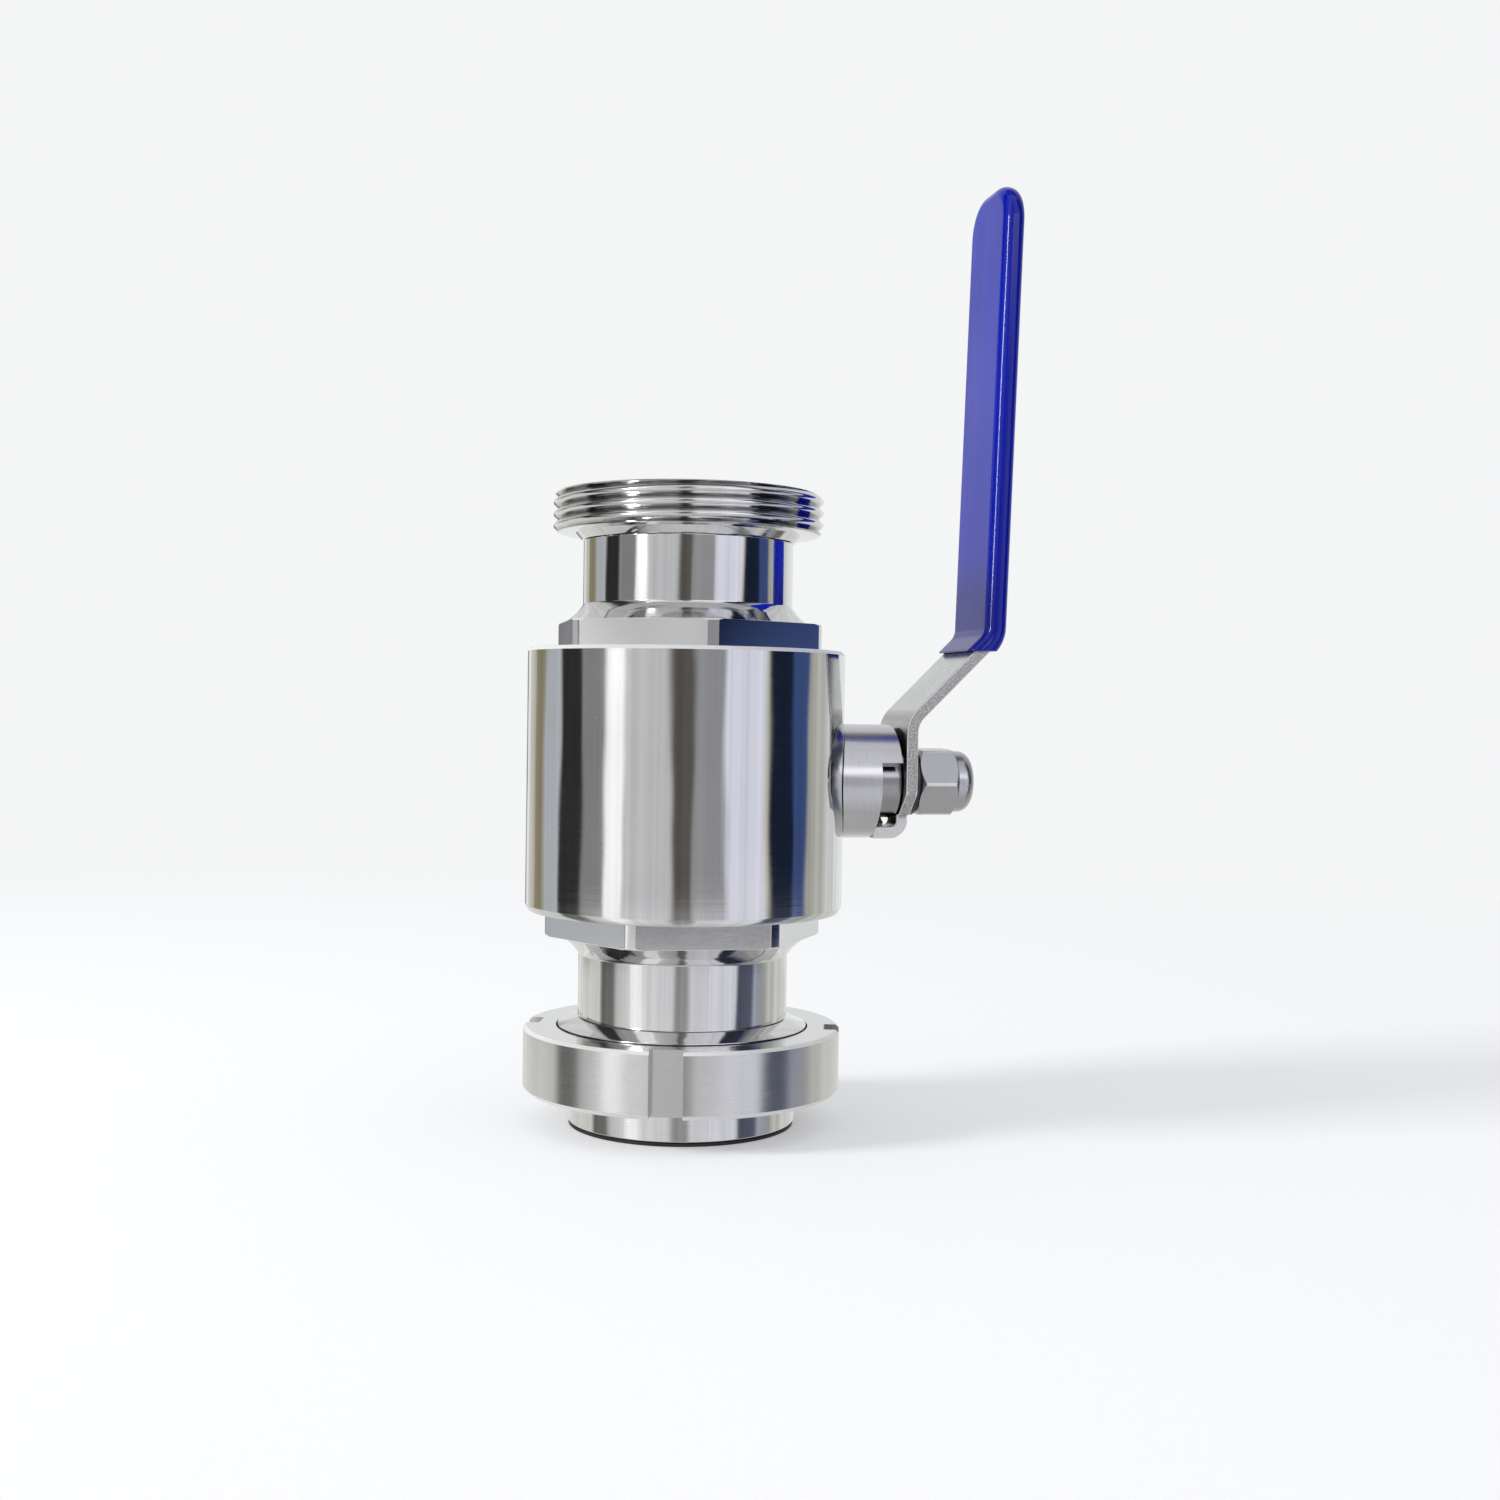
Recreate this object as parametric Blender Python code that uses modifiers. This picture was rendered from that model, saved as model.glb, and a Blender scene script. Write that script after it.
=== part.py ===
"""A sanitary ball valve for 76.1 mm tube, standing on its union end with the lever open.

The flow axis is vertical. From the floor up: a sealing gasket, a union liner that carries a
slotted union nut, an end cap, the turned body, a second end cap and a round-threaded union end.
The stem axis runs along +X from the ball out to a cranked lever with a dipped vinyl grip.
The script works in metres with +Z up.
"""

import math

import bmesh
import bpy
from mathutils import Vector

MM = 0.001
PART_NAME = "sanitary_ball_valve"

# Clearance between neighbouring pieces
FIT = 0.3 * MM

# Fineness of round shapes
TURN_STEPS = 40
SMALL_STEPS = 24
THREAD_STEPS = 30
CURVE_STEPS = 4
ARC_STEP = math.radians(15)
SHARP_ANGLE = math.radians(35)
MERGE_DISTANCE = 0.001 * MM

# Tube and flow bore
TUBE_R = 38.05 * MM
TUBE_WALL = 1.6 * MM
WELD_BEAD = 0.55 * MM

# Ball
BALL_BORE_HALF = 37.1 * MM
BALL_SEGMENTS = 40
BALL_RINGS = 20
SLOT_DEPTH = 8.5 * MM
TANG_WIDTH = 11.8 * MM

# Body
CAVITY_GAP = 1.0 * MM
BARREL_STEP = 0.6 * MM
BODY_WALL = 3.94 * MM
BODY_TOP_CHAMFER = 1.3 * MM
BODY_FOOT_CHAMFER = 2.4 * MM

# Seats and body seals
SEAT_REACH = 7.1 * MM
SEAT_BEHIND = 4.9 * MM
SEAT_PROUD = 0.95 * MM
SEAL_WIRE_R = 1.15 * MM
SEAL_SIDES = 6
SEAL_FROM_END = 3.0 * MM

# End caps
BARREL_WALL = 6.0 * MM
CAP_WEB = 5.15 * MM
HEX_INSET = 3.0 * MM
HEX_CORNER_CUT = 1.07 * MM
HEX_HEIGHT = 9.4 * MM
HEX_CHAMFER = 1.0 * MM
HEX_SUNK = 1.0 * MM
HEX_STEP = 0.2 * MM
FLARE_HEIGHT = 6.4 * MM
FLARE_HOLLOW = 1.1 * MM
UPPER_HEX_CORNER = math.radians(-90.5)
LOWER_HEX_CORNER = math.radians(-121.3)
UPPER_NECK = 22.85 * MM
LOWER_NECK = 22.65 * MM

# Male union end with a round thread
THREAD_PITCH = 25.4 / 6 * MM
THREAD_STANDOFF = 10.95 * MM
THREAD_DEPTH = 2.0 * MM
THREAD_LENGTH = 14.7 * MM
THREAD_CHAMFER = 1.5 * MM
THREAD_CREST = 0.8 * MM
THREAD_GROOVE = 0.25 * MM
THREAD_FULLNESS = 0.62
THREAD_OVERRUN = 2.0 * MM
MALE_CONE_SPREAD = 2.95 * MM
MALE_CONE_HEIGHT = 2.7 * MM

# Union liner and its gasket
NOSE_SPREAD = 3.15 * MM
FLANGE_GAP = 0.4 * MM
FLANGE_STEP = 1.5 * MM
FLANGE_T = 10.0 * MM
HUB_PROUD = 0.5 * MM
LINER_CONE = 2.7 * MM
GASKET_T = 1.2 * MM
TONGUE_WIDTH = 1.8 * MM
TONGUE_HEIGHT = 2.8 * MM

# Slotted union nut
THREAD_GRIP = 1.8 * MM
NUT_WALL = 10.4 * MM
NUT_FOOT = 12.6 * MM
NUT_HEIGHT = 23.1 * MM
NUT_LIP = 5.0 * MM
NUT_LIP_GAP = 0.5 * MM
NUT_FOOT_CHAMFER = 1.7 * MM
NUT_TOP_CHAMFER = 1.1 * MM
NUT_MOUTH_CHAMFER = 1.6 * MM
NUT_SLOTS = 4
NUT_SLOT_WIDTH = 11.5 * MM
NUT_SLOT_DEPTH = 5.8 * MM
NUT_SLOT_ANGLE = math.radians(-105.7)

# Stem collar
COLLAR_R = 21.1 * MM
COLLAR_WALL = 4.3 * MM
COLLAR_REACH = 19.45 * MM
COLLAR_EDGE = 0.6 * MM
NOTCH_DEPTH = 8.3 * MM
SPIGOT_STEP = 3.4 * MM
SPIGOT_END_GAP = 2.0 * MM
TAB_CLEARANCE = math.radians(1.2)

# Stem and what packs it
STEM_R = 8.0 * MM
SHOULDER_STEP = 4.2 * MM
SHOULDER_T = 2.2 * MM
THRUST_WASHER_T = 1.2 * MM
STEM_WEB = 1.5 * MM
PACKING_WIDTH = 3.7 * MM
PACKING_T = 2.0 * MM
PACKING_RINGS = 3
GLAND_PROUD = 1.1 * MM
GLAND_SLOT_WIDTH = 3.0 * MM
GLAND_SLOT_DEPTH = 2.0 * MM
STEM_FLATS = 12.0 * MM
STEM_END_CHAMFER = 1.0 * MM

# Lever plate, with heights measured from the stem axis
LEVER_T = 4.4 * MM
LEVER_WIDTH = 36.0 * MM
LEVER_SEAT_GAP = 0.5 * MM
TAB_WIDTH = 11.6 * MM
TAB_NECK = 5.6 * MM
TAB_FLOOR_GAP = 0.7 * MM
TAB_FILLET = 3.0 * MM
TAB_BEND_R = 4.4 * MM
FOOT_TAPER = 9.1 * MM
FOOT_FILLET = 1.2 * MM
CRANK_START = 22.4 * MM
CRANK_OFFSET = 31.2 * MM
CRANK_ANGLE = math.radians(45)
CRANK_BEND_R = 10.0 * MM
LEVER_LEAN = math.radians(1.63)

# Dipped grip
GRIP_LENGTH = 168.1 * MM
GRIP_BELOW_BEND = 5.0 * MM
GRIP_COAT = 2.3 * MM
GRIP_SIDE_COAT = 1.4 * MM
GRIP_TIP_FLAT = 1.6 * MM
GRIP_ROUNDING = 2.8 * MM
ROUNDING_STEPS = 3
ROUNDED_ABOVE = math.radians(50)

# Lock washer and lock nut on the stem
WASHER_T = 3.5 * MM
WASHER_LIP = 2.0 * MM
WASHER_DROP = 0.6 * MM
WASHER_SPLIT = 1.6 * MM
INSERT_WIDTH = 1.3 * MM
INSERT_T = 3.4 * MM
LOCK_TURN = math.radians(7)
LOCK_STEP = 0.6 * MM
LOCK_HEX_HEIGHT = 12.0 * MM
LOCK_CHAMFER = 1.0 * MM
LOCK_COLLAR_WALL = 1.5 * MM
LOCK_COLLAR_HEIGHT = 8.9 * MM
LOCK_DOME = 4.4 * MM
LOCK_RIM = 2.2 * MM

# Radii round the flow axis, from the tube's outside and the ball out to the body and the hexagons
BORE_R = TUBE_R - TUBE_WALL
BALL_R = math.hypot(BORE_R, BALL_BORE_HALF)
CAVITY_R = BALL_R + CAVITY_GAP
BARREL_BORE_R = CAVITY_R + BARREL_STEP
BARREL_R = BARREL_BORE_R - FIT
BODY_R = BARREL_BORE_R + BODY_WALL
SEAT_R = BARREL_R - BARREL_WALL - FIT
HEX_CORNER_R = BARREL_R - HEX_INSET
HEX_FLATS = (HEX_CORNER_R + HEX_CORNER_CUT) * math.sqrt(3)
FLARE_R = HEX_FLATS / 2 - HEX_STEP

# Heights from the ball's centre
SEAT_FRONT = BALL_BORE_HALF - SEAT_REACH
SEAT_BACK = BALL_BORE_HALF + SEAT_BEHIND
BARREL_END = SEAT_FRONT + SEAT_PROUD
BODY_HALF = SEAT_BACK + CAP_WEB
FLARE_END = BODY_HALF + HEX_HEIGHT + FLARE_HEIGHT

# Union radii, out from the tube to the thread and the nut
THREAD_MAJOR_R = TUBE_R + THREAD_STANDOFF
THREAD_ROOT_R = THREAD_MAJOR_R - THREAD_DEPTH
MALE_CONE_R = TUBE_R + MALE_CONE_SPREAD
NUT_BORE_R = THREAD_MAJOR_R - THREAD_GRIP
NUT_R = NUT_BORE_R + NUT_WALL
LINER_FLANGE_R = NUT_BORE_R - FLANGE_GAP
LINER_HUB_R = LINER_FLANGE_R - FLANGE_STEP
LINER_NOSE_R = TUBE_R + NOSE_SPREAD
GASKET_R = LINER_NOSE_R - FIT
TONGUE_R = (BORE_R + LINER_NOSE_R) / 2

# Heights above the floor, up the union, the lower cap, the body, the upper cap and the thread
LINER_FOOT = GASKET_T + FIT
NUT_TOP = NUT_FOOT + NUT_HEIGHT
FLANGE_TOP = NUT_TOP - NUT_LIP - FIT
LINER_HUB_TOP = NUT_TOP + HUB_PROUD
LINER_TOP = LINER_HUB_TOP + LINER_CONE
LOWER_NECK_FOOT = LINER_TOP + FIT
STEM_HEIGHT = LOWER_NECK_FOOT + LOWER_NECK + FLARE_END
UPPER_NECK_TOP = STEM_HEIGHT + FLARE_END + UPPER_NECK
MALE_FOOT = UPPER_NECK_TOP + FIT
THREAD_FOOT = MALE_FOOT + MALE_CONE_HEIGHT
THREAD_TOP = THREAD_FOOT + THREAD_LENGTH

# Radii round the stem axis
STEM_HOLE_R = STEM_R + FIT
SHOULDER_R = STEM_R + SHOULDER_STEP
PACKING_R = STEM_R + PACKING_WIDTH
SPIGOT_R = COLLAR_R - SPIGOT_STEP
INSERT_R = STEM_HOLE_R + INSERT_WIDTH
LOCK_COLLAR_R = INSERT_R + FIT + LOCK_COLLAR_WALL
LOCK_FLATS = 2 * (LOCK_COLLAR_R + LOCK_STEP)
WASHER_R = LOCK_FLATS / 2 + WASHER_LIP

# Places along the stem axis, measured from the flow axis
TANG_END = BALL_R - SLOT_DEPTH + FIT
SHOULDER_FOOT = BALL_R + FIT
SHOULDER_TOP = SHOULDER_FOOT + SHOULDER_T
WASHER_SEAT = SHOULDER_TOP + FIT + THRUST_WASHER_T + FIT
PACKING_FLOOR = WASHER_SEAT + STEM_WEB
PACKING_TOP = PACKING_FLOOR + PACKING_RINGS * (PACKING_T + FIT)
COLLAR_END = BODY_R + COLLAR_REACH
COLLAR_FLOOR = COLLAR_END - NOTCH_DEPTH
GLAND_END = COLLAR_END + GLAND_PROUD
LEVER_INNER = GLAND_END + LEVER_SEAT_GAP
LEVER_OUTER = LEVER_INNER + LEVER_T
LEVER_MID = (LEVER_INNER + LEVER_OUTER) / 2
LOCK_WASHER_FOOT = LEVER_OUTER + FIT
LOCK_NUT_FOOT = LOCK_WASHER_FOOT + WASHER_T + FIT
LOCK_NUT_END = LOCK_NUT_FOOT + LOCK_HEX_HEIGHT + LOCK_COLLAR_HEIGHT

# Lever and grip
TAB_MID_R = COLLAR_R - LEVER_T / 2
TAB_ROOT = TAB_MID_R - TAB_NECK
FOOT_SIDE = TAB_ROOT - FOOT_TAPER
CRANK_END = CRANK_START + CRANK_OFFSET / math.tan(CRANK_ANGLE)
GRIP_TIP = CRANK_END + GRIP_LENGTH
GRIP_FOOT = CRANK_END - GRIP_BELOW_BEND
GRIP_T = LEVER_T + 2 * GRIP_COAT
GRIP_WIDTH = LEVER_WIDTH + 2 * GRIP_SIDE_COAT
GRIP_TIP_R = GRIP_WIDTH / 2 - GRIP_TIP_FLAT
GRIP_MID_TOP = LEVER_MID + CRANK_OFFSET + GRIP_LENGTH * math.tan(LEVER_LEAN)
GRIP_OUTER = GRIP_MID_TOP + GRIP_T / 2 / math.cos(LEVER_LEAN)

# The origin lies midway between the grip's outermost point and the far side of the nut
FLOW_AXIS_X = (max(NUT_R, BODY_R) - GRIP_OUTER) / 2


def clear_scene():
    for obj in list(bpy.data.objects):
        bpy.data.objects.remove(obj, do_unlink=True)


def make_collection(name):
    collection = bpy.data.collections.new(name)
    bpy.context.scene.collection.children.link(collection)
    return collection


def make_material(name, colour, metallic, roughness):
    material = bpy.data.materials.new(name)
    material.use_nodes = True
    shader = material.node_tree.nodes["Principled BSDF"]
    shader.inputs["Base Color"].default_value = (*colour, 1.0)
    shader.inputs["Metallic"].default_value = metallic
    shader.inputs["Roughness"].default_value = roughness
    return material


clear_scene()
PARTS = make_collection(PART_NAME)
CUTTERS = make_collection("cutters")
POLISHED = make_material("polished_steel", (0.72, 0.73, 0.75), 1.0, 0.06)
SATIN = make_material("satin_steel", (0.62, 0.63, 0.64), 1.0, 0.32)
PTFE = make_material("white_ptfe", (0.88, 0.88, 0.86), 0.0, 0.45)
RUBBER = make_material("black_rubber", (0.02, 0.02, 0.022), 0.0, 0.6)
VINYL = make_material("blue_vinyl", (0.015, 0.03, 0.55), 0.0, 0.12)
NYLON = make_material("blue_nylon", (0.05, 0.12, 0.4), 0.0, 0.4)


def make_frame(name, location, rotation=(0, 0, 0), parent=None):
    """An empty that carries the pieces of one axis."""
    frame = bpy.data.objects.new(name, None)
    frame.empty_display_size = 0.02
    frame.location = location
    frame.rotation_euler = rotation
    frame.parent = parent
    PARTS.objects.link(frame)
    return frame


# The stem frame's own +Z points out along the stem; the lever frame keeps +Z up.
FLOW_FRAME = make_frame("flow_axis", (FLOW_AXIS_X, 0, 0))
BALL_FRAME = make_frame("ball_centre", (0, 0, STEM_HEIGHT), parent=FLOW_FRAME)
STEM_FRAME = make_frame("stem_axis", (0, 0, STEM_HEIGHT), (0, math.pi / 2, 0), FLOW_FRAME)
LEVER_FRAME = make_frame("lever_pivot", (0, 0, STEM_HEIGHT), parent=FLOW_FRAME)


def place(name, mesh, frame, material=None, location=(0, 0, 0), rotation=(0, 0, 0)):
    """A part where a material is given, and otherwise a hidden cutter."""
    obj = bpy.data.objects.new(name, mesh)
    obj.parent = frame
    obj.location = location
    obj.rotation_euler = rotation
    if material:
        mesh.materials.append(material)
        PARTS.objects.link(obj)
    else:
        obj.hide_render = True
        obj.display_type = "WIRE"
        CUTTERS.objects.link(obj)
    return obj


def turned(name, profile, frame, material=None, steps=TURN_STEPS, **where):
    """A closed profile of (radius, height) points, down the outer side first, turned on Z."""
    mesh = bpy.data.meshes.new(name)
    points = [(radius, 0, height) for radius, height in profile]
    edges = [(i, (i + 1) % len(points)) for i in range(len(points))]
    mesh.from_pydata(points, edges, [])
    obj = place(name, mesh, frame, material, **where)
    screw = obj.modifiers.new("turn", "SCREW")
    screw.angle = 2 * math.pi
    screw.steps = steps
    screw.render_steps = steps
    screw.use_merge_vertices = True
    screw.merge_threshold = 10 * MERGE_DISTANCE
    return obj


def rod(name, radius, foot, top, frame, material=None, steps=SMALL_STEPS, **where):
    """A solid cylinder along the frame's Z from foot to top."""
    mesh = bpy.data.meshes.new(name)
    shape = bmesh.new()
    bmesh.ops.create_cone(
        shape, cap_ends=True, segments=steps, radius1=radius, radius2=radius, depth=top - foot
    )
    bmesh.ops.translate(shape, verts=shape.verts, vec=(0, 0, (foot + top) / 2))
    shape.to_mesh(mesh)
    shape.free()
    return place(name, mesh, frame, material, **where)


def box(name, low, high, frame, material=None, **where):
    """A block between two opposite corners."""
    mesh = bpy.data.meshes.new(name)
    shape = bmesh.new()
    bmesh.ops.create_cube(shape, size=1.0)
    size = [b - a for a, b in zip(low, high)]
    middle = [(a + b) / 2 for a, b in zip(low, high)]
    bmesh.ops.scale(shape, verts=shape.verts, vec=size)
    bmesh.ops.translate(shape, verts=shape.verts, vec=middle)
    shape.to_mesh(mesh)
    shape.free()
    return place(name, mesh, frame, material, **where)


def combine(obj, other, operation):
    """One Boolean step between a part and a cutter."""
    step = obj.modifiers.new(operation.lower() + "_" + other.name, "BOOLEAN")
    step.object = other
    step.operation = operation
    step.solver = "EXACT"
    return obj


def cut(obj, *others):
    for other in others:
        combine(obj, other, "DIFFERENCE")
    return obj


def rounded_path(corners, closed=False):
    """Points along straight runs with rounded corners, each corner given as (x, y, radius)."""
    points = []
    count = len(corners)
    for i, (x, y, radius) in enumerate(corners):
        here = Vector((x, y))
        if radius == 0 or (not closed and i in (0, count - 1)):
            points.append(here)
            continue
        back = (Vector(corners[i - 1][:2]) - here).normalized()
        ahead = (Vector(corners[(i + 1) % count][:2]) - here).normalized()
        half = back.angle(ahead) / 2
        centre = here + (back + ahead).normalized() * (radius / math.sin(half))
        first = here + back * (radius / math.tan(half)) - centre
        last = here + ahead * (radius / math.tan(half)) - centre
        start = math.atan2(first.y, first.x)
        sweep = (math.atan2(last.y, last.x) - start + math.pi) % (2 * math.pi) - math.pi
        steps = max(2, math.ceil(abs(sweep) / ARC_STEP))
        for k in range(steps + 1):
            angle = start + sweep * k / steps
            points.append(centre + radius * Vector((math.cos(angle), math.sin(angle))))
    return points


def strip_outline(path, thickness):
    """The closed outline of a bar of this thickness, bent along an open path."""
    sides = ([], [])
    for i, here in enumerate(path):
        into = (here - path[max(i - 1, 0)]).normalized()
        out = (path[min(i + 1, len(path) - 1)] - here).normalized()
        along = (into + out).normalized()
        normal = Vector((-along.y, along.x))
        run = out if out.length > 0 else into
        reach = thickness / 2 / along.dot(run)
        sides[0].append(here + normal * reach)
        sides[1].append(here - normal * reach)
    return sides[0] + sides[1][::-1]


def extruded(name, outline, depth, frame, material=None, **where):
    """A flat outline drawn as a filled curve, given its depth both ways along Z, as a mesh."""
    curve = bpy.data.curves.new(name, "CURVE")
    curve.dimensions = "2D"
    curve.fill_mode = "BOTH"
    curve.extrude = depth / 2
    spline = curve.splines.new("POLY")
    spline.points.add(len(outline) - 1)
    for point, (x, y) in zip(spline.points, outline):
        point.co = (x, y, 0, 1)
    spline.use_cyclic_u = True
    guide = bpy.data.objects.new(name + "_outline", curve)
    CUTTERS.objects.link(guide)
    graph = bpy.context.evaluated_depsgraph_get()
    mesh = bpy.data.meshes.new_from_object(guide.evaluated_get(graph))
    bpy.data.objects.remove(guide, do_unlink=True)
    mesh.name = name
    shape = bmesh.new()
    shape.from_mesh(mesh)
    bmesh.ops.remove_doubles(shape, verts=shape.verts, dist=MERGE_DISTANCE)
    bmesh.ops.recalc_face_normals(shape, faces=shape.faces)
    shape.to_mesh(mesh)
    shape.free()
    return place(name, mesh, frame, material, **where)


def ring_profile(inner, outer, foot, top):
    return [(outer, top), (outer, foot), (inner, foot), (inner, top)]


# Body shell

body_profile = [
    (BODY_R - BODY_TOP_CHAMFER, BODY_HALF),
    (BODY_R, BODY_HALF - BODY_TOP_CHAMFER),
    (BODY_R, -BODY_HALF + BODY_FOOT_CHAMFER),
    (BODY_R - BODY_FOOT_CHAMFER / 2, -BODY_HALF),
    (BARREL_BORE_R, -BODY_HALF),
    (BARREL_BORE_R, -BARREL_END + FIT),
    (CAVITY_R, -BARREL_END + FIT),
    (CAVITY_R, BARREL_END - FIT),
    (BARREL_BORE_R, BARREL_END - FIT),
    (BARREL_BORE_R, BODY_HALF),
]
body_shell = turned("body_shell", body_profile, BALL_FRAME, POLISHED)
spigot_hole = rod("spigot_hole", SPIGOT_R + FIT, TANG_END, BODY_R + COLLAR_R, STEM_FRAME)
cut(body_shell, spigot_hole)


# End caps: a threaded barrel, a hexagon with turned corners, a flare and a neck

def flare_points():
    """A slightly hollow flare from the hexagon's face in to the neck, from foot to top."""
    rise = Vector((TUBE_R - FLARE_R, FLARE_HEIGHT))
    inward = Vector((-rise.y, rise.x)).normalized()
    points = []
    for k in range(CURVE_STEPS):
        share = k / (CURVE_STEPS - 1)
        bow = 4 * share * (1 - share) * FLARE_HOLLOW
        points.append(Vector((FLARE_R, 0)) + rise * share + inward * bow)
    return points


def end_cap(name, neck_end, corner, upside):
    """Heights run outwards from the ball's centre; the lower cap is turned upside down."""
    rotation = (0, 0, 0) if upside else (math.pi, 0, 0)
    where = {"rotation": rotation}
    hex_top = BODY_HALF + HEX_HEIGHT
    flare = [(p.x, hex_top + p.y) for p in reversed(flare_points())]
    groove_mid = BARREL_END + SEAL_FROM_END
    groove_half = SEAL_WIRE_R + FIT
    groove_floor = BARREL_BORE_R - 2 * SEAL_WIRE_R - 2 * FIT
    profile = [
        (TUBE_R, neck_end),
        *flare,
        (FLARE_R, BODY_HALF),
        (BARREL_R, BODY_HALF),
        (BARREL_R, groove_mid + groove_half),
        (groove_floor, groove_mid + groove_half),
        (groove_floor, groove_mid - groove_half),
        (BARREL_R, groove_mid - groove_half),
        (BARREL_R, BARREL_END),
        (SEAT_R + FIT, BARREL_END),
        (SEAT_R + FIT, SEAT_BACK + FIT),
        (BORE_R, SEAT_BACK + FIT),
        (BORE_R, neck_end),
    ]
    cap = turned(name, profile, BALL_FRAME, POLISHED, **where)
    flange_profile = [
        (HEX_CORNER_R - HEX_CHAMFER, hex_top),
        (HEX_CORNER_R, hex_top - HEX_CHAMFER / 2),
        (HEX_CORNER_R, BODY_HALF - HEX_SUNK),
        (BORE_R + TUBE_WALL, BODY_HALF - HEX_SUNK),
        (BORE_R + TUBE_WALL, hex_top),
    ]
    flange = turned(name + "_flange", flange_profile, BALL_FRAME, **where)
    prism = rod(
        name + "_hexagon",
        HEX_FLATS / math.sqrt(3),
        0,
        2 * hex_top,
        BALL_FRAME,
        steps=6,
        rotation=(rotation[0], 0, corner - math.pi / 2),
    )
    combine(flange, prism, "INTERSECT")
    return combine(cap, flange, "UNION")


end_cap("upper_end_cap", UPPER_NECK_TOP - STEM_HEIGHT, UPPER_HEX_CORNER, True)
end_cap("lower_end_cap", STEM_HEIGHT - LOWER_NECK_FOOT, LOWER_HEX_CORNER, False)


# Seats with a face that follows the ball, and the seals in the barrels' grooves

def seat(name, upside):
    sphere = BALL_R + FIT
    outer = math.sqrt(sphere**2 - SEAT_FRONT**2)
    inner = BORE_R + FIT
    first = math.atan2(SEAT_FRONT, outer)
    last = math.acos(inner / sphere)
    face = []
    for k in range(CURVE_STEPS + 1):
        angle = first + (last - first) * k / CURVE_STEPS
        face.append((sphere * math.cos(angle), sphere * math.sin(angle)))
    profile = [(SEAT_R, SEAT_BACK), (SEAT_R, SEAT_FRONT), *face, (inner, SEAT_BACK)]
    rotation = (0, 0, 0) if upside else (math.pi, 0, 0)
    return turned(name, profile, BALL_FRAME, PTFE, rotation=rotation)


def seal(name, side):
    middle_r = BARREL_BORE_R - SEAL_WIRE_R - FIT
    height = side * (BARREL_END + SEAL_FROM_END)
    profile = []
    for k in range(SEAL_SIDES):
        angle = math.pi / 2 - 2 * math.pi * (k + 0.5) / SEAL_SIDES
        profile.append((middle_r + SEAL_WIRE_R * math.cos(angle), height + SEAL_WIRE_R * math.sin(angle)))
    return turned(name, profile, BALL_FRAME, RUBBER)


seat("upper_seat", True)
seat("lower_seat", False)
seal("upper_body_seal", 1)
seal("lower_body_seal", -1)


# Ball with its flow bore and the slot that the stem drives

def ball():
    mesh = bpy.data.meshes.new("ball")
    shape = bmesh.new()
    bmesh.ops.create_uvsphere(
        shape, u_segments=BALL_SEGMENTS, v_segments=BALL_RINGS, radius=BALL_R
    )
    shape.to_mesh(mesh)
    shape.free()
    obj = place("ball", mesh, BALL_FRAME, POLISHED)
    bore = rod("ball_bore", BORE_R, -BODY_R, BODY_R, BALL_FRAME, steps=TURN_STEPS)
    half = TANG_WIDTH / 2 + FIT
    low = (BALL_R - SLOT_DEPTH, -BALL_R, -half)
    slot = box("ball_slot", low, (BALL_R + SLOT_DEPTH, BALL_R, half), BALL_FRAME)
    return cut(obj, bore, slot)


ball()


# Male union end: a helical round-threaded ridge on a core, trimmed to a chamfered outline

def thread_ridge(name):
    """A round-crested ridge swept up the thread, starting and ending outside the trimmed length."""
    half = (THREAD_PITCH - THREAD_GROOVE) / 2
    shoulder_half = half * THREAD_FULLNESS
    shoulder = THREAD_ROOT_R + THREAD_DEPTH * THREAD_FULLNESS
    section = [
        (THREAD_ROOT_R - THREAD_DEPTH / 2, half),
        (shoulder, shoulder_half),
        (THREAD_MAJOR_R, THREAD_CREST / 2),
        (THREAD_MAJOR_R, -THREAD_CREST / 2),
        (shoulder, -shoulder_half),
        (THREAD_ROOT_R - THREAD_DEPTH / 2, -half),
    ]
    start = THREAD_FOOT - THREAD_PITCH
    turns = math.ceil(THREAD_LENGTH / THREAD_PITCH) + 2
    guide = turned(name + "_sweep", [(r, start + z) for r, z in section], FLOW_FRAME, steps=THREAD_STEPS)
    sweep = guide.modifiers["turn"]
    sweep.screw_offset = THREAD_PITCH
    sweep.iterations = turns
    graph = bpy.context.evaluated_depsgraph_get()
    mesh = bpy.data.meshes.new_from_object(guide.evaluated_get(graph))
    bpy.data.objects.remove(guide, do_unlink=True)
    shape = bmesh.new()
    shape.from_mesh(mesh)
    bmesh.ops.remove_doubles(shape, verts=shape.verts, dist=MERGE_DISTANCE)
    open_edges = [edge for edge in shape.edges if edge.is_boundary]
    bmesh.ops.holes_fill(shape, edges=open_edges, sides=len(section))
    bmesh.ops.recalc_face_normals(shape, faces=shape.faces)
    shape.to_mesh(mesh)
    shape.free()
    return place(name, mesh, FLOW_FRAME)


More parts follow.
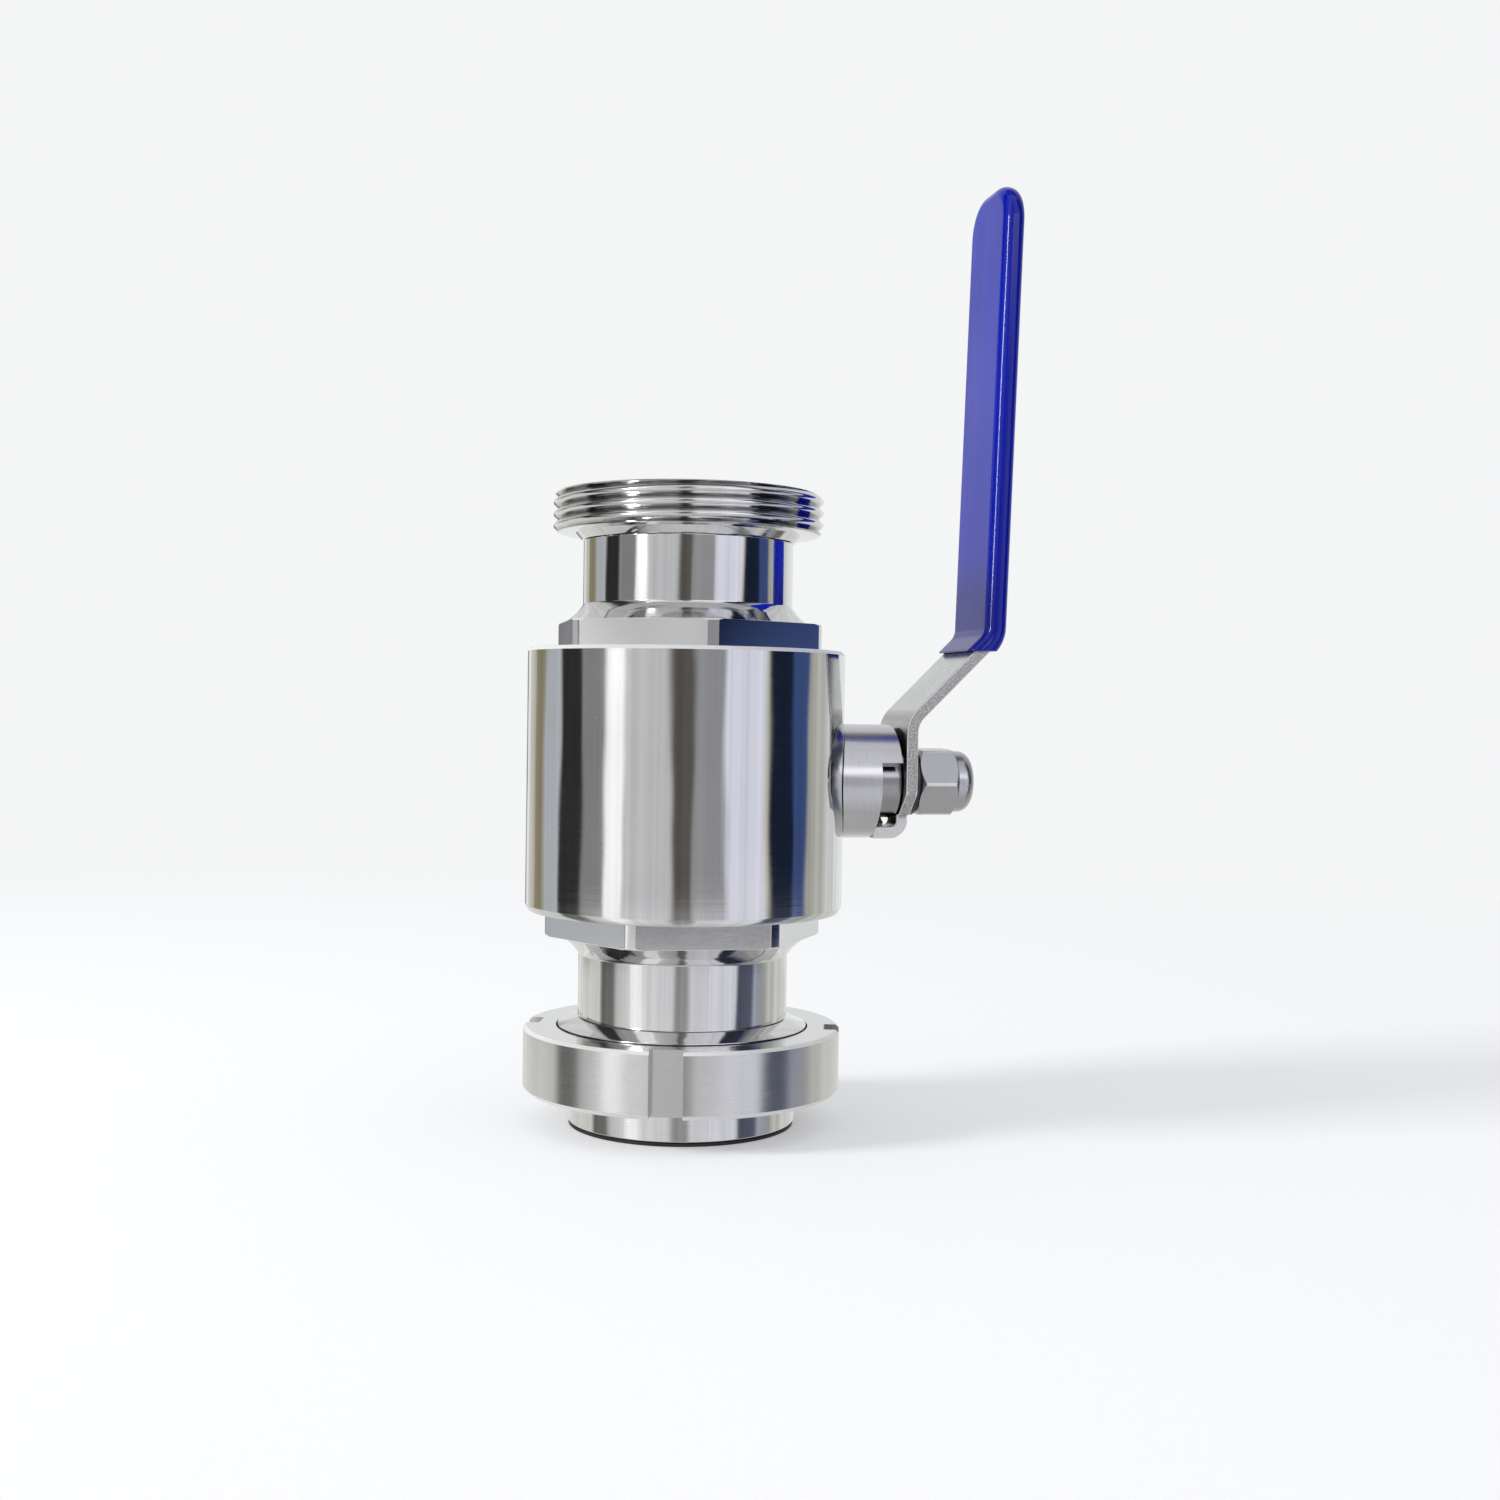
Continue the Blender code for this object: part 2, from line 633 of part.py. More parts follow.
def male_union_end():
    foot = MALE_FOOT - THREAD_OVERRUN
    top = THREAD_TOP + THREAD_OVERRUN
    core_profile = ring_profile(BORE_R - THREAD_OVERRUN, THREAD_ROOT_R, foot, top)
    core = turned("male_union_end", core_profile, FLOW_FRAME, SATIN)
    chamfer_foot_r = THREAD_MAJOR_R - THREAD_CHAMFER
    outline = [
        (chamfer_foot_r, THREAD_TOP),
        (THREAD_MAJOR_R + FIT, THREAD_TOP - THREAD_CHAMFER - FIT),
        (THREAD_MAJOR_R + FIT, THREAD_FOOT + THREAD_CHAMFER + FIT),
        (chamfer_foot_r - THREAD_DEPTH / 2, THREAD_FOOT),
        (MALE_CONE_R, THREAD_FOOT),
        (TUBE_R + WELD_BEAD, MALE_FOOT),
        (BORE_R, MALE_FOOT),
        (BORE_R, THREAD_TOP),
    ]
    combine(core, thread_ridge("thread_ridge"), "UNION")
    return combine(core, turned("male_outline", outline, FLOW_FRAME), "INTERSECT")


male_union_end()


# Union liner, its tongued gasket and the slotted nut that hangs on its flange

GROOVE_TOP = LINER_FOOT + TONGUE_HEIGHT + FIT
TONGUE_IN = TONGUE_R - TONGUE_WIDTH / 2
TONGUE_OUT = TONGUE_R + TONGUE_WIDTH / 2
FLANGE_FOOT = FLANGE_TOP - FLANGE_T

liner_profile = [
    (TUBE_R + WELD_BEAD, LINER_TOP),
    (LINER_HUB_R, LINER_HUB_TOP),
    (LINER_HUB_R, FLANGE_TOP),
    (LINER_FLANGE_R, FLANGE_TOP),
    (LINER_FLANGE_R, FLANGE_FOOT),
    (LINER_NOSE_R, FLANGE_FOOT - (LINER_FLANGE_R - LINER_NOSE_R) / 2),
    (LINER_NOSE_R, LINER_FOOT + FIT),
    (LINER_NOSE_R - FIT, LINER_FOOT),
    (TONGUE_OUT + FIT, LINER_FOOT),
    (TONGUE_OUT + FIT, GROOVE_TOP),
    (TONGUE_IN - FIT, GROOVE_TOP),
    (TONGUE_IN - FIT, LINER_FOOT),
    (BORE_R, LINER_FOOT),
    (BORE_R, LINER_TOP),
]
turned("union_liner", liner_profile, FLOW_FRAME, SATIN)

gasket_profile = [
    (TONGUE_OUT, LINER_FOOT + TONGUE_HEIGHT),
    (TONGUE_OUT, GASKET_T),
    (GASKET_R, GASKET_T),
    (GASKET_R, 0),
    (BORE_R, 0),
    (BORE_R, GASKET_T),
    (TONGUE_IN, GASKET_T),
    (TONGUE_IN, LINER_FOOT + TONGUE_HEIGHT),
]
turned("union_gasket", gasket_profile, FLOW_FRAME, RUBBER)


def union_nut():
    lip_r = LINER_HUB_R + NUT_LIP_GAP
    profile = [
        (NUT_R - NUT_TOP_CHAMFER, NUT_TOP),
        (NUT_R, NUT_TOP - NUT_TOP_CHAMFER),
        (NUT_R, NUT_FOOT + NUT_FOOT_CHAMFER),
        (NUT_R - NUT_FOOT_CHAMFER, NUT_FOOT),
        (NUT_BORE_R + NUT_MOUTH_CHAMFER, NUT_FOOT),
        (NUT_BORE_R, NUT_FOOT + NUT_MOUTH_CHAMFER),
        (NUT_BORE_R, NUT_TOP - NUT_LIP),
        (lip_r, NUT_TOP - NUT_LIP),
        (lip_r, NUT_TOP),
    ]
    nut = turned("union_nut", profile, FLOW_FRAME, SATIN)
    half = NUT_SLOT_WIDTH / 2
    for k in range(NUT_SLOTS):
        low = (NUT_R - NUT_SLOT_DEPTH, -half, 0)
        high = (NUT_R + NUT_SLOT_WIDTH, half, NUT_TOP + NUT_FOOT)
        turn = NUT_SLOT_ANGLE + 2 * math.pi * k / NUT_SLOTS
        cut(nut, box(f"nut_slot_{k + 1}", low, high, FLOW_FRAME, rotation=(0, 0, turn)))
    return nut


union_nut()


# Stem collar: a boss saddled on the body, with a spigot through its wall and a stop notch

def stop_notch(name):
    """The sector that the lever's tab sweeps, from straight down to the near side."""
    tab_half = math.atan2(TAB_WIDTH / 2, COLLAR_R - LEVER_T) + TAB_CLEARANCE
    start = -math.pi / 2 - tab_half
    sweep = math.pi / 2 + 2 * tab_half
    steps = math.ceil(sweep / ARC_STEP)
    inner = COLLAR_R - COLLAR_WALL - FIT
    outer = COLLAR_R + 2 * COLLAR_WALL
    near = []
    far = []
    for k in range(steps + 1):
        angle = start + sweep * k / steps
        way = Vector((-math.sin(angle), -math.cos(angle)))
        near.append(way * inner)
        far.append(way * outer)
    height = COLLAR_END - COLLAR_FLOOR
    middle = (0, 0, COLLAR_FLOOR + height)
    return extruded(name, near + far[::-1], 2 * height, STEM_FRAME, location=middle)


def stem_collar():
    blank_profile = [
        (0, COLLAR_END),
        (COLLAR_R - COLLAR_EDGE, COLLAR_END),
        (COLLAR_R, COLLAR_END - COLLAR_EDGE),
        (COLLAR_R, TANG_END),
        (0, TANG_END),
    ]
    collar = turned("stem_collar", blank_profile, STEM_FRAME, SATIN)
    saddle = rod(
        "body_saddle", BODY_R + FIT, -BODY_HALF, BODY_HALF, BALL_FRAME, steps=TURN_STEPS
    )
    spigot = rod(
        "collar_spigot",
        SPIGOT_R,
        BALL_R + SPIGOT_END_GAP,
        COLLAR_FLOOR - SPIGOT_END_GAP,
        STEM_FRAME,
    )
    recess_r = COLLAR_R - COLLAR_WALL
    bore_profile = [
        (0, COLLAR_END + COLLAR_R),
        (recess_r, COLLAR_END + COLLAR_R),
        (recess_r, COLLAR_FLOOR),
        (PACKING_R + FIT, COLLAR_FLOOR),
        (PACKING_R + FIT, PACKING_FLOOR),
        (STEM_HOLE_R, PACKING_FLOOR),
        (STEM_HOLE_R, WASHER_SEAT),
        (SHOULDER_R + FIT, WASHER_SEAT),
        (SHOULDER_R + FIT, TANG_END),
        (0, TANG_END),
    ]
    cut(collar, saddle)
    combine(collar, spigot, "UNION")
    cut(collar, turned("collar_bore", bore_profile, STEM_FRAME, steps=SMALL_STEPS))
    return cut(collar, stop_notch("stop_notch"))


stem_collar()


# Stem, with the washers, packing and gland nut around it

def stem():
    end = LOCK_NUT_END - FIT
    profile = [
        (0, end),
        (STEM_R - STEM_END_CHAMFER, end),
        (STEM_R, end - STEM_END_CHAMFER),
        (STEM_R, SHOULDER_TOP),
        (SHOULDER_R, SHOULDER_TOP),
        (SHOULDER_R, TANG_END),
        (0, TANG_END),
    ]
    shaft = turned("stem", profile, STEM_FRAME, SATIN, steps=SMALL_STEPS)
    far = 2 * SHOULDER_R
    for side in (-1, 1):
        near, edge = sorted((side * TANG_WIDTH / 2, side * far))
        low = (near, -far, TANG_END - far)
        cut(shaft, box(f"tang_side_{side + 1}", low, (edge, far, SHOULDER_FOOT), STEM_FRAME))
        near, edge = sorted((side * STEM_FLATS / 2, side * far))
        low = (-far, near, LEVER_INNER - FIT)
        cut(shaft, box(f"stem_flat_{side + 1}", low, (far, edge, end + far), STEM_FRAME))
    return shaft


def stem_ring(name, outer, foot, thickness, material):
    profile = ring_profile(STEM_HOLE_R, outer, foot, foot + thickness)
    return turned(name, profile, STEM_FRAME, material, steps=SMALL_STEPS)


stem()
stem_ring("stem_thrust_washer", SHOULDER_R, SHOULDER_TOP + FIT, THRUST_WASHER_T, PTFE)
for ring in range(PACKING_RINGS):
    ring_foot = PACKING_FLOOR + FIT + ring * (PACKING_T + FIT)
    stem_ring(f"stem_packing_{ring + 1}", PACKING_R, ring_foot, PACKING_T, PTFE)

gland_foot = PACKING_TOP + FIT
gland_nut = stem_ring("gland_nut", PACKING_R, gland_foot, GLAND_END - gland_foot, SATIN)
slot_half = GLAND_SLOT_WIDTH / 2
slot_low = (-slot_half, -COLLAR_R, GLAND_END - GLAND_SLOT_DEPTH)
cut(gland_nut, box("gland_slot", slot_low, (slot_half, COLLAR_R, LEVER_OUTER), STEM_FRAME))


# Lever plate: a bent strip, trimmed to its front outline, with a hole for the stem's flats

SIDE_ON = (math.pi / 2, 0, 0)
FACE_ON = (math.pi / 2, 0, math.pi / 2)


def lever_path(tip, gripped=False):
    """The bar's middle line seen from the side: all of it, or only from the foot of the crank up."""
    bend = Vector((LEVER_MID + CRANK_OFFSET, CRANK_END))
    top = bend + Vector((math.tan(LEVER_LEAN), 1)) * (tip - CRANK_END)
    upper = [(bend.x, bend.y, CRANK_BEND_R), (top.x, top.y, 0)]
    if gripped:
        return rounded_path([(LEVER_MID, CRANK_START, 0), *upper])
    foot = [
        (COLLAR_FLOOR + TAB_FLOOR_GAP, -TAB_MID_R, 0),
        (LEVER_MID, -TAB_MID_R, TAB_BEND_R),
        (LEVER_MID, CRANK_START, CRANK_BEND_R),
    ]
    return rounded_path(foot + upper)


def lever_face(tip):
    """The plate's front outline: the tab, the tapered foot, the full width and the rounded tip."""
    half = LEVER_WIDTH / 2
    right = [
        (TAB_WIDTH / 2, -COLLAR_R - LEVER_T, 0),
        (TAB_WIDTH / 2, -TAB_ROOT, TAB_FILLET),
        (half, -FOOT_SIDE, FOOT_FILLET),
        (half, tip, GRIP_TIP_R - GRIP_SIDE_COAT),
    ]
    left = [(-x, y, radius) for x, y, radius in reversed(right)]
    return rounded_path(right + left, closed=True)


def grip_face(grow, tip, foot):
    """The gripped length's front outline: square across at its foot and rounded at its tip."""
    half = LEVER_WIDTH / 2 + grow
    tip_r = GRIP_TIP_R - GRIP_SIDE_COAT + grow
    corners = [(half, foot, 0), (half, tip, tip_r), (-half, tip, tip_r), (-half, foot, 0)]
    return rounded_path(corners, closed=True)


def lever_plate():
    tip = GRIP_TIP - GRIP_COAT
    side = strip_outline(lever_path(tip), LEVER_T)
    plate = extruded("lever_plate", side, 2 * LEVER_WIDTH, LEVER_FRAME, SATIN, rotation=SIDE_ON)
    face = extruded("lever_outline", lever_face(tip), 4 * GRIP_OUTER, LEVER_FRAME, rotation=FACE_ON)
    combine(plate, face, "INTERSECT")
    hole = rod("lever_hole", STEM_HOLE_R, COLLAR_END, LOCK_NUT_END, STEM_FRAME)
    half = STEM_FLATS / 2 + FIT
    flats_low = (-COLLAR_R, -half, COLLAR_END - FIT)
    flats = box("lever_flats", flats_low, (COLLAR_R, half, LOCK_NUT_END + FIT), STEM_FRAME)
    combine(hole, flats, "INTERSECT")
    return cut(plate, hole)


def grip_sleeve():
    side = strip_outline(lever_path(GRIP_TIP, gripped=True), GRIP_T)
    outer = extruded(
        "grip_sleeve", side, 2 * GRIP_WIDTH, LEVER_FRAME, VINYL, rotation=SIDE_ON
    )
    outline = grip_face(GRIP_SIDE_COAT, GRIP_TIP, GRIP_FOOT)
    face = extruded("grip_outline", outline, 4 * GRIP_OUTER, LEVER_FRAME, rotation=FACE_ON)
    combine(outer, face, "INTERSECT")
    rounding = outer.modifiers.new("rounded_edges", "BEVEL")
    rounding.width = GRIP_ROUNDING
    rounding.segments = ROUNDING_STEPS
    rounding.limit_method = "ANGLE"
    rounding.angle_limit = ROUNDED_ABOVE
    inside = GRIP_TIP - GRIP_COAT + FIT
    hollow_side = strip_outline(lever_path(inside, gripped=True), LEVER_T + 2 * FIT)
    hollow = extruded("grip_hollow", hollow_side, 2 * GRIP_WIDTH, LEVER_FRAME, rotation=SIDE_ON)
    inside_outline = grip_face(FIT, inside, GRIP_FOOT - GRIP_T)
    hollow_face = extruded(
        "grip_hollow_face", inside_outline, 4 * GRIP_OUTER, LEVER_FRAME, rotation=FACE_ON
    )
    combine(hollow, hollow_face, "INTERSECT")
    return cut(outer, hollow)


lever_plate()
grip_sleeve()


# Split lock washer and the lock nut with its nylon insert

washer_top = LOCK_WASHER_FOOT + WASHER_T
washer_profile = ring_profile(STEM_HOLE_R + WASHER_DROP, WASHER_R, LOCK_WASHER_FOOT, washer_top)
lock_washer = turned(
    "lock_washer", washer_profile, STEM_FRAME, SATIN, steps=SMALL_STEPS, location=(WASHER_DROP, 0, 0)
)
split_half = WASHER_SPLIT / 2
split_low = (STEM_R / 2, -split_half, LEVER_INNER)
cut(lock_washer, box("washer_split", split_low, (COLLAR_R, split_half, LOCK_NUT_END), STEM_FRAME))


def lever_nut():
    """A hexagon blank under a domed collar, bored through with a recess for the insert."""
    hex_top = LOCK_NUT_FOOT + LOCK_HEX_HEIGHT
    corner_r = LOCK_FLATS / math.sqrt(3)
    insert_top = LOCK_NUT_END - LOCK_RIM
    insert_foot = insert_top - INSERT_T - 2 * FIT
    hex_profile = [
        (0, hex_top),
        (corner_r - LOCK_CHAMFER, hex_top),
        (corner_r + FIT, hex_top - LOCK_CHAMFER / 2),
        (corner_r + FIT, LOCK_NUT_FOOT + LOCK_CHAMFER / 2),
        (corner_r - LOCK_CHAMFER, LOCK_NUT_FOOT),
        (0, LOCK_NUT_FOOT),
    ]
    nut = turned("lever_nut", hex_profile, STEM_FRAME, SATIN, steps=SMALL_STEPS)
    prism = rod(
        "lever_nut_hexagon",
        corner_r,
        LOCK_NUT_FOOT - FIT,
        hex_top + FIT,
        STEM_FRAME,
        steps=6,
        rotation=(0, 0, LOCK_TURN),
    )
    combine(nut, prism, "INTERSECT")
    dome = [(0, LOCK_NUT_END)]
    for k in range(CURVE_STEPS + 1):
        angle = math.pi / 2 * (1 - k / CURVE_STEPS)
        across = LOCK_COLLAR_R - LOCK_DOME + LOCK_DOME * math.cos(angle)
        dome.append((across, LOCK_NUT_END - LOCK_DOME + LOCK_DOME * math.sin(angle)))
    collar_profile = [*dome, (LOCK_COLLAR_R, hex_top - LOCK_CHAMFER), (0, hex_top - LOCK_CHAMFER)]
    combine(nut, turned("lever_nut_collar", collar_profile, STEM_FRAME, steps=SMALL_STEPS), "UNION")
    bore_profile = [
        (0, LOCK_NUT_END + FIT),
        (STEM_HOLE_R, LOCK_NUT_END + FIT),
        (STEM_HOLE_R, insert_top),
        (INSERT_R + FIT, insert_top),
        (INSERT_R + FIT, insert_foot),
        (STEM_HOLE_R, insert_foot),
        (STEM_HOLE_R, LOCK_NUT_FOOT - FIT),
        (0, LOCK_NUT_FOOT - FIT),
    ]
    cut(nut, turned("lever_nut_bore", bore_profile, STEM_FRAME, steps=SMALL_STEPS))
    stem_ring("nut_insert", INSERT_R, insert_foot + FIT, INSERT_T, NYLON)
    return nut


lever_nut()


def settle(obj):
    """Keep the evaluated shape as the part's own mesh, shaded smooth between sharp edges."""
    graph = bpy.context.evaluated_depsgraph_get()
    mesh = bpy.data.meshes.new_from_object(obj.evaluated_get(graph))
    mesh.shade_smooth()
    mesh.set_sharp_from_angle(angle=SHARP_ANGLE)
    obj.modifiers.clear()
    obj.data = mesh
    mesh.name = obj.name


for part in [obj for obj in PARTS.objects if obj.type == "MESH"]:
    settle(part)
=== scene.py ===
"""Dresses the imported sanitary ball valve: finely turned steel pieces, a stamped lever with its dipped
grip, and the finish of every piece. Sizes are in millimetres until they reach Blender. Turned pieces
are shaped standing on the origin and then set on the flow axis, or laid along the stem axis.
"""
import math

import bmesh
import bpy
from mathutils import Matrix, Vector


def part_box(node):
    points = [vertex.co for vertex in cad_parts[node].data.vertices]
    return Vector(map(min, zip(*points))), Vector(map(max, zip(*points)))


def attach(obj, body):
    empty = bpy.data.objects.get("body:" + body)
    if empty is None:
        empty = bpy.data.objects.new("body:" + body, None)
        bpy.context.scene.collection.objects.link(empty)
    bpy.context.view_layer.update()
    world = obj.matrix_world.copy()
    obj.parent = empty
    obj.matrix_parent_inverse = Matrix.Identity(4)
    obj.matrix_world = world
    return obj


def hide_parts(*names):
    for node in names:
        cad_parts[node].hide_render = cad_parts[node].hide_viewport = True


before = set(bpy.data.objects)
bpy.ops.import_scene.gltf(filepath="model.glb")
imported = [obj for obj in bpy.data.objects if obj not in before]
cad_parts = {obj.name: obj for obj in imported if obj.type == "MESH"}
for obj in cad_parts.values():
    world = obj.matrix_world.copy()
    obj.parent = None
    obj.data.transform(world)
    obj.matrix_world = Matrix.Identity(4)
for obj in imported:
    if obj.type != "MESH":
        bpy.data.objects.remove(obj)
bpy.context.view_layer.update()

MM = 0.001
nut_low, nut_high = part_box("union_nut")
body_low, body_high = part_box("body_shell")
FLOW_X = (nut_low.x + nut_high.x) / 2
STEM_Z = (body_low.z + body_high.z) / 2

ROUND_STEPS = 144
STEM_STEPS = 96

# Radii that several pieces share, and half the body's length
BORE_R = 36.45
NECK_R = 38.05
BODY_R = 57.55
BODY_HALF = 47.15
SOCKET_R = 53.6
BARREL_R = 53.3
BALL_R = 52.0
STEM_HOLE_R = 8.3

bpy.ops.object.select_all(action="DESELECT")


# Bench tools

def edit():
    bpy.ops.object.mode_set(mode="EDIT")


def leave():
    bpy.ops.object.mode_set(mode="OBJECT")


def only(piece):
    bpy.ops.object.select_all(action="DESELECT")
    piece.select_set(True)
    bpy.context.view_layer.objects.active = piece


def turn(name, profile, steps=ROUND_STEPS, solid=False):
    """Draws a turned piece ring by ring along a profile of (radius, height), closed on itself or capped."""
    bpy.ops.object.select_all(action="DESELECT")
    radius, height = profile[0]
    bpy.ops.mesh.primitive_circle_add(vertices=steps, radius=radius * MM, location=(0, 0, height * MM))
    piece = bpy.context.object
    piece.name = name
    edit()
    bpy.ops.mesh.select_all(action="SELECT")
    for next_radius, next_height in profile[1:]:
        bpy.ops.mesh.extrude_edges_indiv()
        share = next_radius / radius
        bpy.ops.transform.resize(value=(share, share, 1), center_override=(0, 0, 0))
        bpy.ops.transform.translate(value=(0, 0, (next_height - height) * MM))
        radius, height = next_radius, next_height
    bpy.ops.mesh.select_mode(type="EDGE")
    if solid:
        bpy.ops.mesh.select_all(action="SELECT")
        bpy.ops.mesh.fill_holes(sides=0)
    else:
        bpy.ops.mesh.select_all(action="DESELECT")
        bpy.ops.mesh.select_non_manifold(
            use_wire=False, use_multi_face=False, use_non_contiguous=False, use_verts=False
        )
        bpy.ops.mesh.bridge_edge_loops()
    face_out()
    leave()
    return settle(piece)


def face_out():
    bpy.ops.mesh.select_all(action="SELECT")
    bpy.ops.mesh.normals_make_consistent(inside=False)


def settle(piece):
    """The piece's place and turn go into its mesh."""
    only(piece)
    bpy.ops.object.transform_apply(location=True, rotation=True, scale=True)
    return piece


def prism(name, radius, foot, top, sides, angle=0.0, corner=0.0):
    """A solid bar of so many sides, its upright corners rounded where a width is given."""
    bpy.ops.object.select_all(action="DESELECT")
    middle = (foot + top) / 2 * MM
    bpy.ops.mesh.primitive_cylinder_add(
        vertices=sides, radius=radius * MM, depth=(top - foot) * MM,
        location=(0, 0, middle), rotation=(0, 0, angle),
    )
    bar = bpy.context.object
    bar.name = name
    if corner:
        edit()
        shape = bmesh.from_edit_mesh(bar.data)
        for edge in shape.edges:
            edge.select = abs(edge.verts[0].co.z - edge.verts[1].co.z) > 1e-6
        bmesh.update_edit_mesh(bar.data)
        bpy.ops.mesh.select_mode(type="EDGE")
        bpy.ops.mesh.bevel(offset=corner * MM, segments=3, affect="EDGES")
        leave()
    return settle(bar)


def block(name, low, high, turned=0.0):
    """A cutter between two opposite corners, turned about the upright axis."""
    bpy.ops.object.select_all(action="DESELECT")
    middle = [(a + b) / 2 * MM for a, b in zip(low, high)]
    bpy.ops.mesh.primitive_cube_add(size=1, location=middle)
    cutter = bpy.context.object
    cutter.name = name
    cutter.scale = [(b - a) * MM for a, b in zip(low, high)]
    settle(cutter)
    cutter.rotation_euler = (0, 0, turned)
    return settle(cutter)


def work(piece, tool, how="DIFFERENCE"):
    """One exact cut, join or trim by a tool that is then put away."""
    step = piece.modifiers.new(how.lower(), "BOOLEAN")
    step.object = tool
    step.operation = how
    step.solver = "EXACT"
    only(piece)
    bpy.ops.object.modifier_apply(modifier=step.name)
    bpy.data.objects.remove(tool, do_unlink=True)
    return piece


def break_edges(piece, width, above=28, steps=2):
    """Breaks every edge sharper than an angle by a small rounded chamfer."""
    step = piece.modifiers.new("broken_edges", "BEVEL")
    step.width = width * MM
    step.segments = steps
    step.limit_method = "ANGLE"
    step.angle_limit = math.radians(above)
    step.miter_outer = "MITER_ARC"
    step.use_clamp_overlap = True
    only(piece)
    bpy.ops.object.modifier_apply(modifier=step.name)
    return piece


def clean(piece):
    only(piece)
    edit()
    bpy.ops.mesh.select_all(action="SELECT")
    bpy.ops.mesh.remove_doubles(threshold=0.000004)
    bpy.ops.mesh.dissolve_degenerate(threshold=0.000002)
    face_out()
    leave()
    return piece


def on_flow_axis(piece, height=0.0, upside_down=False):
    piece.location = (FLOW_X, 0, height)
    piece.rotation_euler = (math.pi if upside_down else 0, 0, 0)
    return settle(piece)


def on_stem_axis(piece):
    """Lays a piece that was shaped upright so that its top points out along the stem."""
    piece.location = (FLOW_X, 0, STEM_Z)
    piece.rotation_euler = (0, math.pi / 2, 0)
    return settle(piece)


def finish(piece, body, material, smooth=30):
    """Shades a piece, gives it its finish and sets it on its body in place of the node of its name."""
    only(piece)
    bpy.ops.object.shade_smooth_by_angle(angle=math.radians(smooth))
    shading = piece.modifiers.new("even_shading", "WEIGHTED_NORMAL")
    shading.keep_sharp = True
    shading.weight = 80
    bpy.ops.object.modifier_apply(modifier=shading.name)
    piece.data.materials.clear()
    piece.data.materials.append(material)
    node = piece.name.split(".")[0]
    piece.name = "fine_" + node
    piece.data.name = piece.name
    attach(piece, body)
    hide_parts(node)
    return piece


def from_flow_axis(face):
    return math.hypot(face.center.x - FLOW_X, face.center.y) / MM


def from_stem_axis(face):
    return math.hypot(face.center.y, face.center.z - STEM_Z) / MM


def dress_faces(piece, material, chosen):
    """Gives the faces that a test picks a finish of their own."""
    piece.data.materials.append(material)
    slot = len(piece.data.materials) - 1
    for face in piece.data.polygons:
        if chosen(face):
            face.material_index = slot
    return piece


def paint_edge_highlights(piece, inner, above=0.0):
    """The broken outer edges of a turned piece above a height, given a frosty white finish: a painted
    highlight.
    """
    def is_highlit_edge(face):
        return 0.2 < abs(face.normal.z) < 0.95 and from_flow_axis(face) > inner and face.center.z > above

    return dress_faces(piece, edge_highlight, is_highlit_edge)


def shade_gap_walls(piece, inner, outer, foot, top):
    """The walls of a narrow gap get a near-black steel: painted shade in the gap."""
    def in_shaded_gap(face):
        upright = abs(face.normal.z) < 0.3
        return upright and inner < from_flow_axis(face) < outer and foot < face.center.z / MM < top

    return dress_faces(piece, gap_shade_steel, in_shaded_gap)


# Finishes

def grey(level, blue=None):
    """An even tone; one that leans cool or warm has a blue of its own."""
    return (level, level, level if blue is None else blue)



def start_finish(name, colour, metallic, roughness):
    material = bpy.data.materials.new(name)
    material.use_nodes = True
    nodes = material.node_tree.nodes
    shader = nodes["Principled BSDF"]
    shader.inputs["Base Color"].default_value = (*colour, 1)
    shader.inputs["Metallic"].default_value = metallic
    shader.inputs["Roughness"].default_value = roughness
    return material, nodes, material.node_tree.links, shader


def put(nodes, kind, **settings):
    """A node with its settings: its own properties, and for the other names the sockets called so."""
    node = nodes.new("ShaderNode" + kind)
    for name, value in settings.items():
        if hasattr(node, name):
            setattr(node, name, value)
        else:
            node.inputs[name.replace("_", " ")].default_value = value
    return node


def reckon(nodes, links, operation, first, second):
    """One sum, product or the like of a socket with another socket or a number."""
    node = put(nodes, "Math", operation=operation)
    links.new(first, node.inputs[0])
    if isinstance(second, float):
        node.inputs[1].default_value = second
    else:
        links.new(second, node.inputs[1])
    return node.outputs[0]


def even_tone(nodes, colour):
    node = put(nodes, "RGB")
    node.outputs[0].default_value = (*colour, 1)
    return node.outputs[0]


def object_place(nodes, links, centre=(0, 0, 0), turn_by=(0, 0, 0), stretch=(1, 1, 1)):
    """Object coordinates moved to a piece's own centre, turned, and then stretched."""
    spot = put(nodes, "TexCoord")
    shift = put(nodes, "Mapping", Location=[-c for c in centre])
    links.new(spot.outputs["Object"], shift.inputs["Vector"])
    shape = put(nodes, "Mapping", Rotation=turn_by, Scale=stretch)
    links.new(shift.outputs["Vector"], shape.inputs["Vector"])
    return shape.outputs["Vector"]


def lathe_place(nodes, links, along_stem):
    """Coordinates of turning marks: height along the axis, radius, and a little of the angle."""
    if along_stem:
        axis = object_place(nodes, links, (0, 0, STEM_Z), (0, -math.pi / 2, 0))
    else:
        axis = object_place(nodes, links, (FLOW_X, 0, 0))
    split = put(nodes, "SeparateXYZ")
    links.new(axis, split.inputs[0])
    across = put(nodes, "CombineXYZ")
    links.new(split.outputs["X"], across.inputs["X"])
    links.new(split.outputs["Y"], across.inputs["Y"])
    radius = put(nodes, "VectorMath", operation="LENGTH")
    links.new(across.outputs[0], radius.inputs[0])
    angle = reckon(nodes, links, "ARCTAN2", split.outputs["Y"], split.outputs["X"])
    place = put(nodes, "CombineXYZ")
    links.new(split.outputs["Z"], place.inputs["X"])
    links.new(radius.outputs["Value"], place.inputs["Y"])
    links.new(reckon(nodes, links, "MULTIPLY", angle, 0.0012), place.inputs["Z"])
    return place.outputs[0]


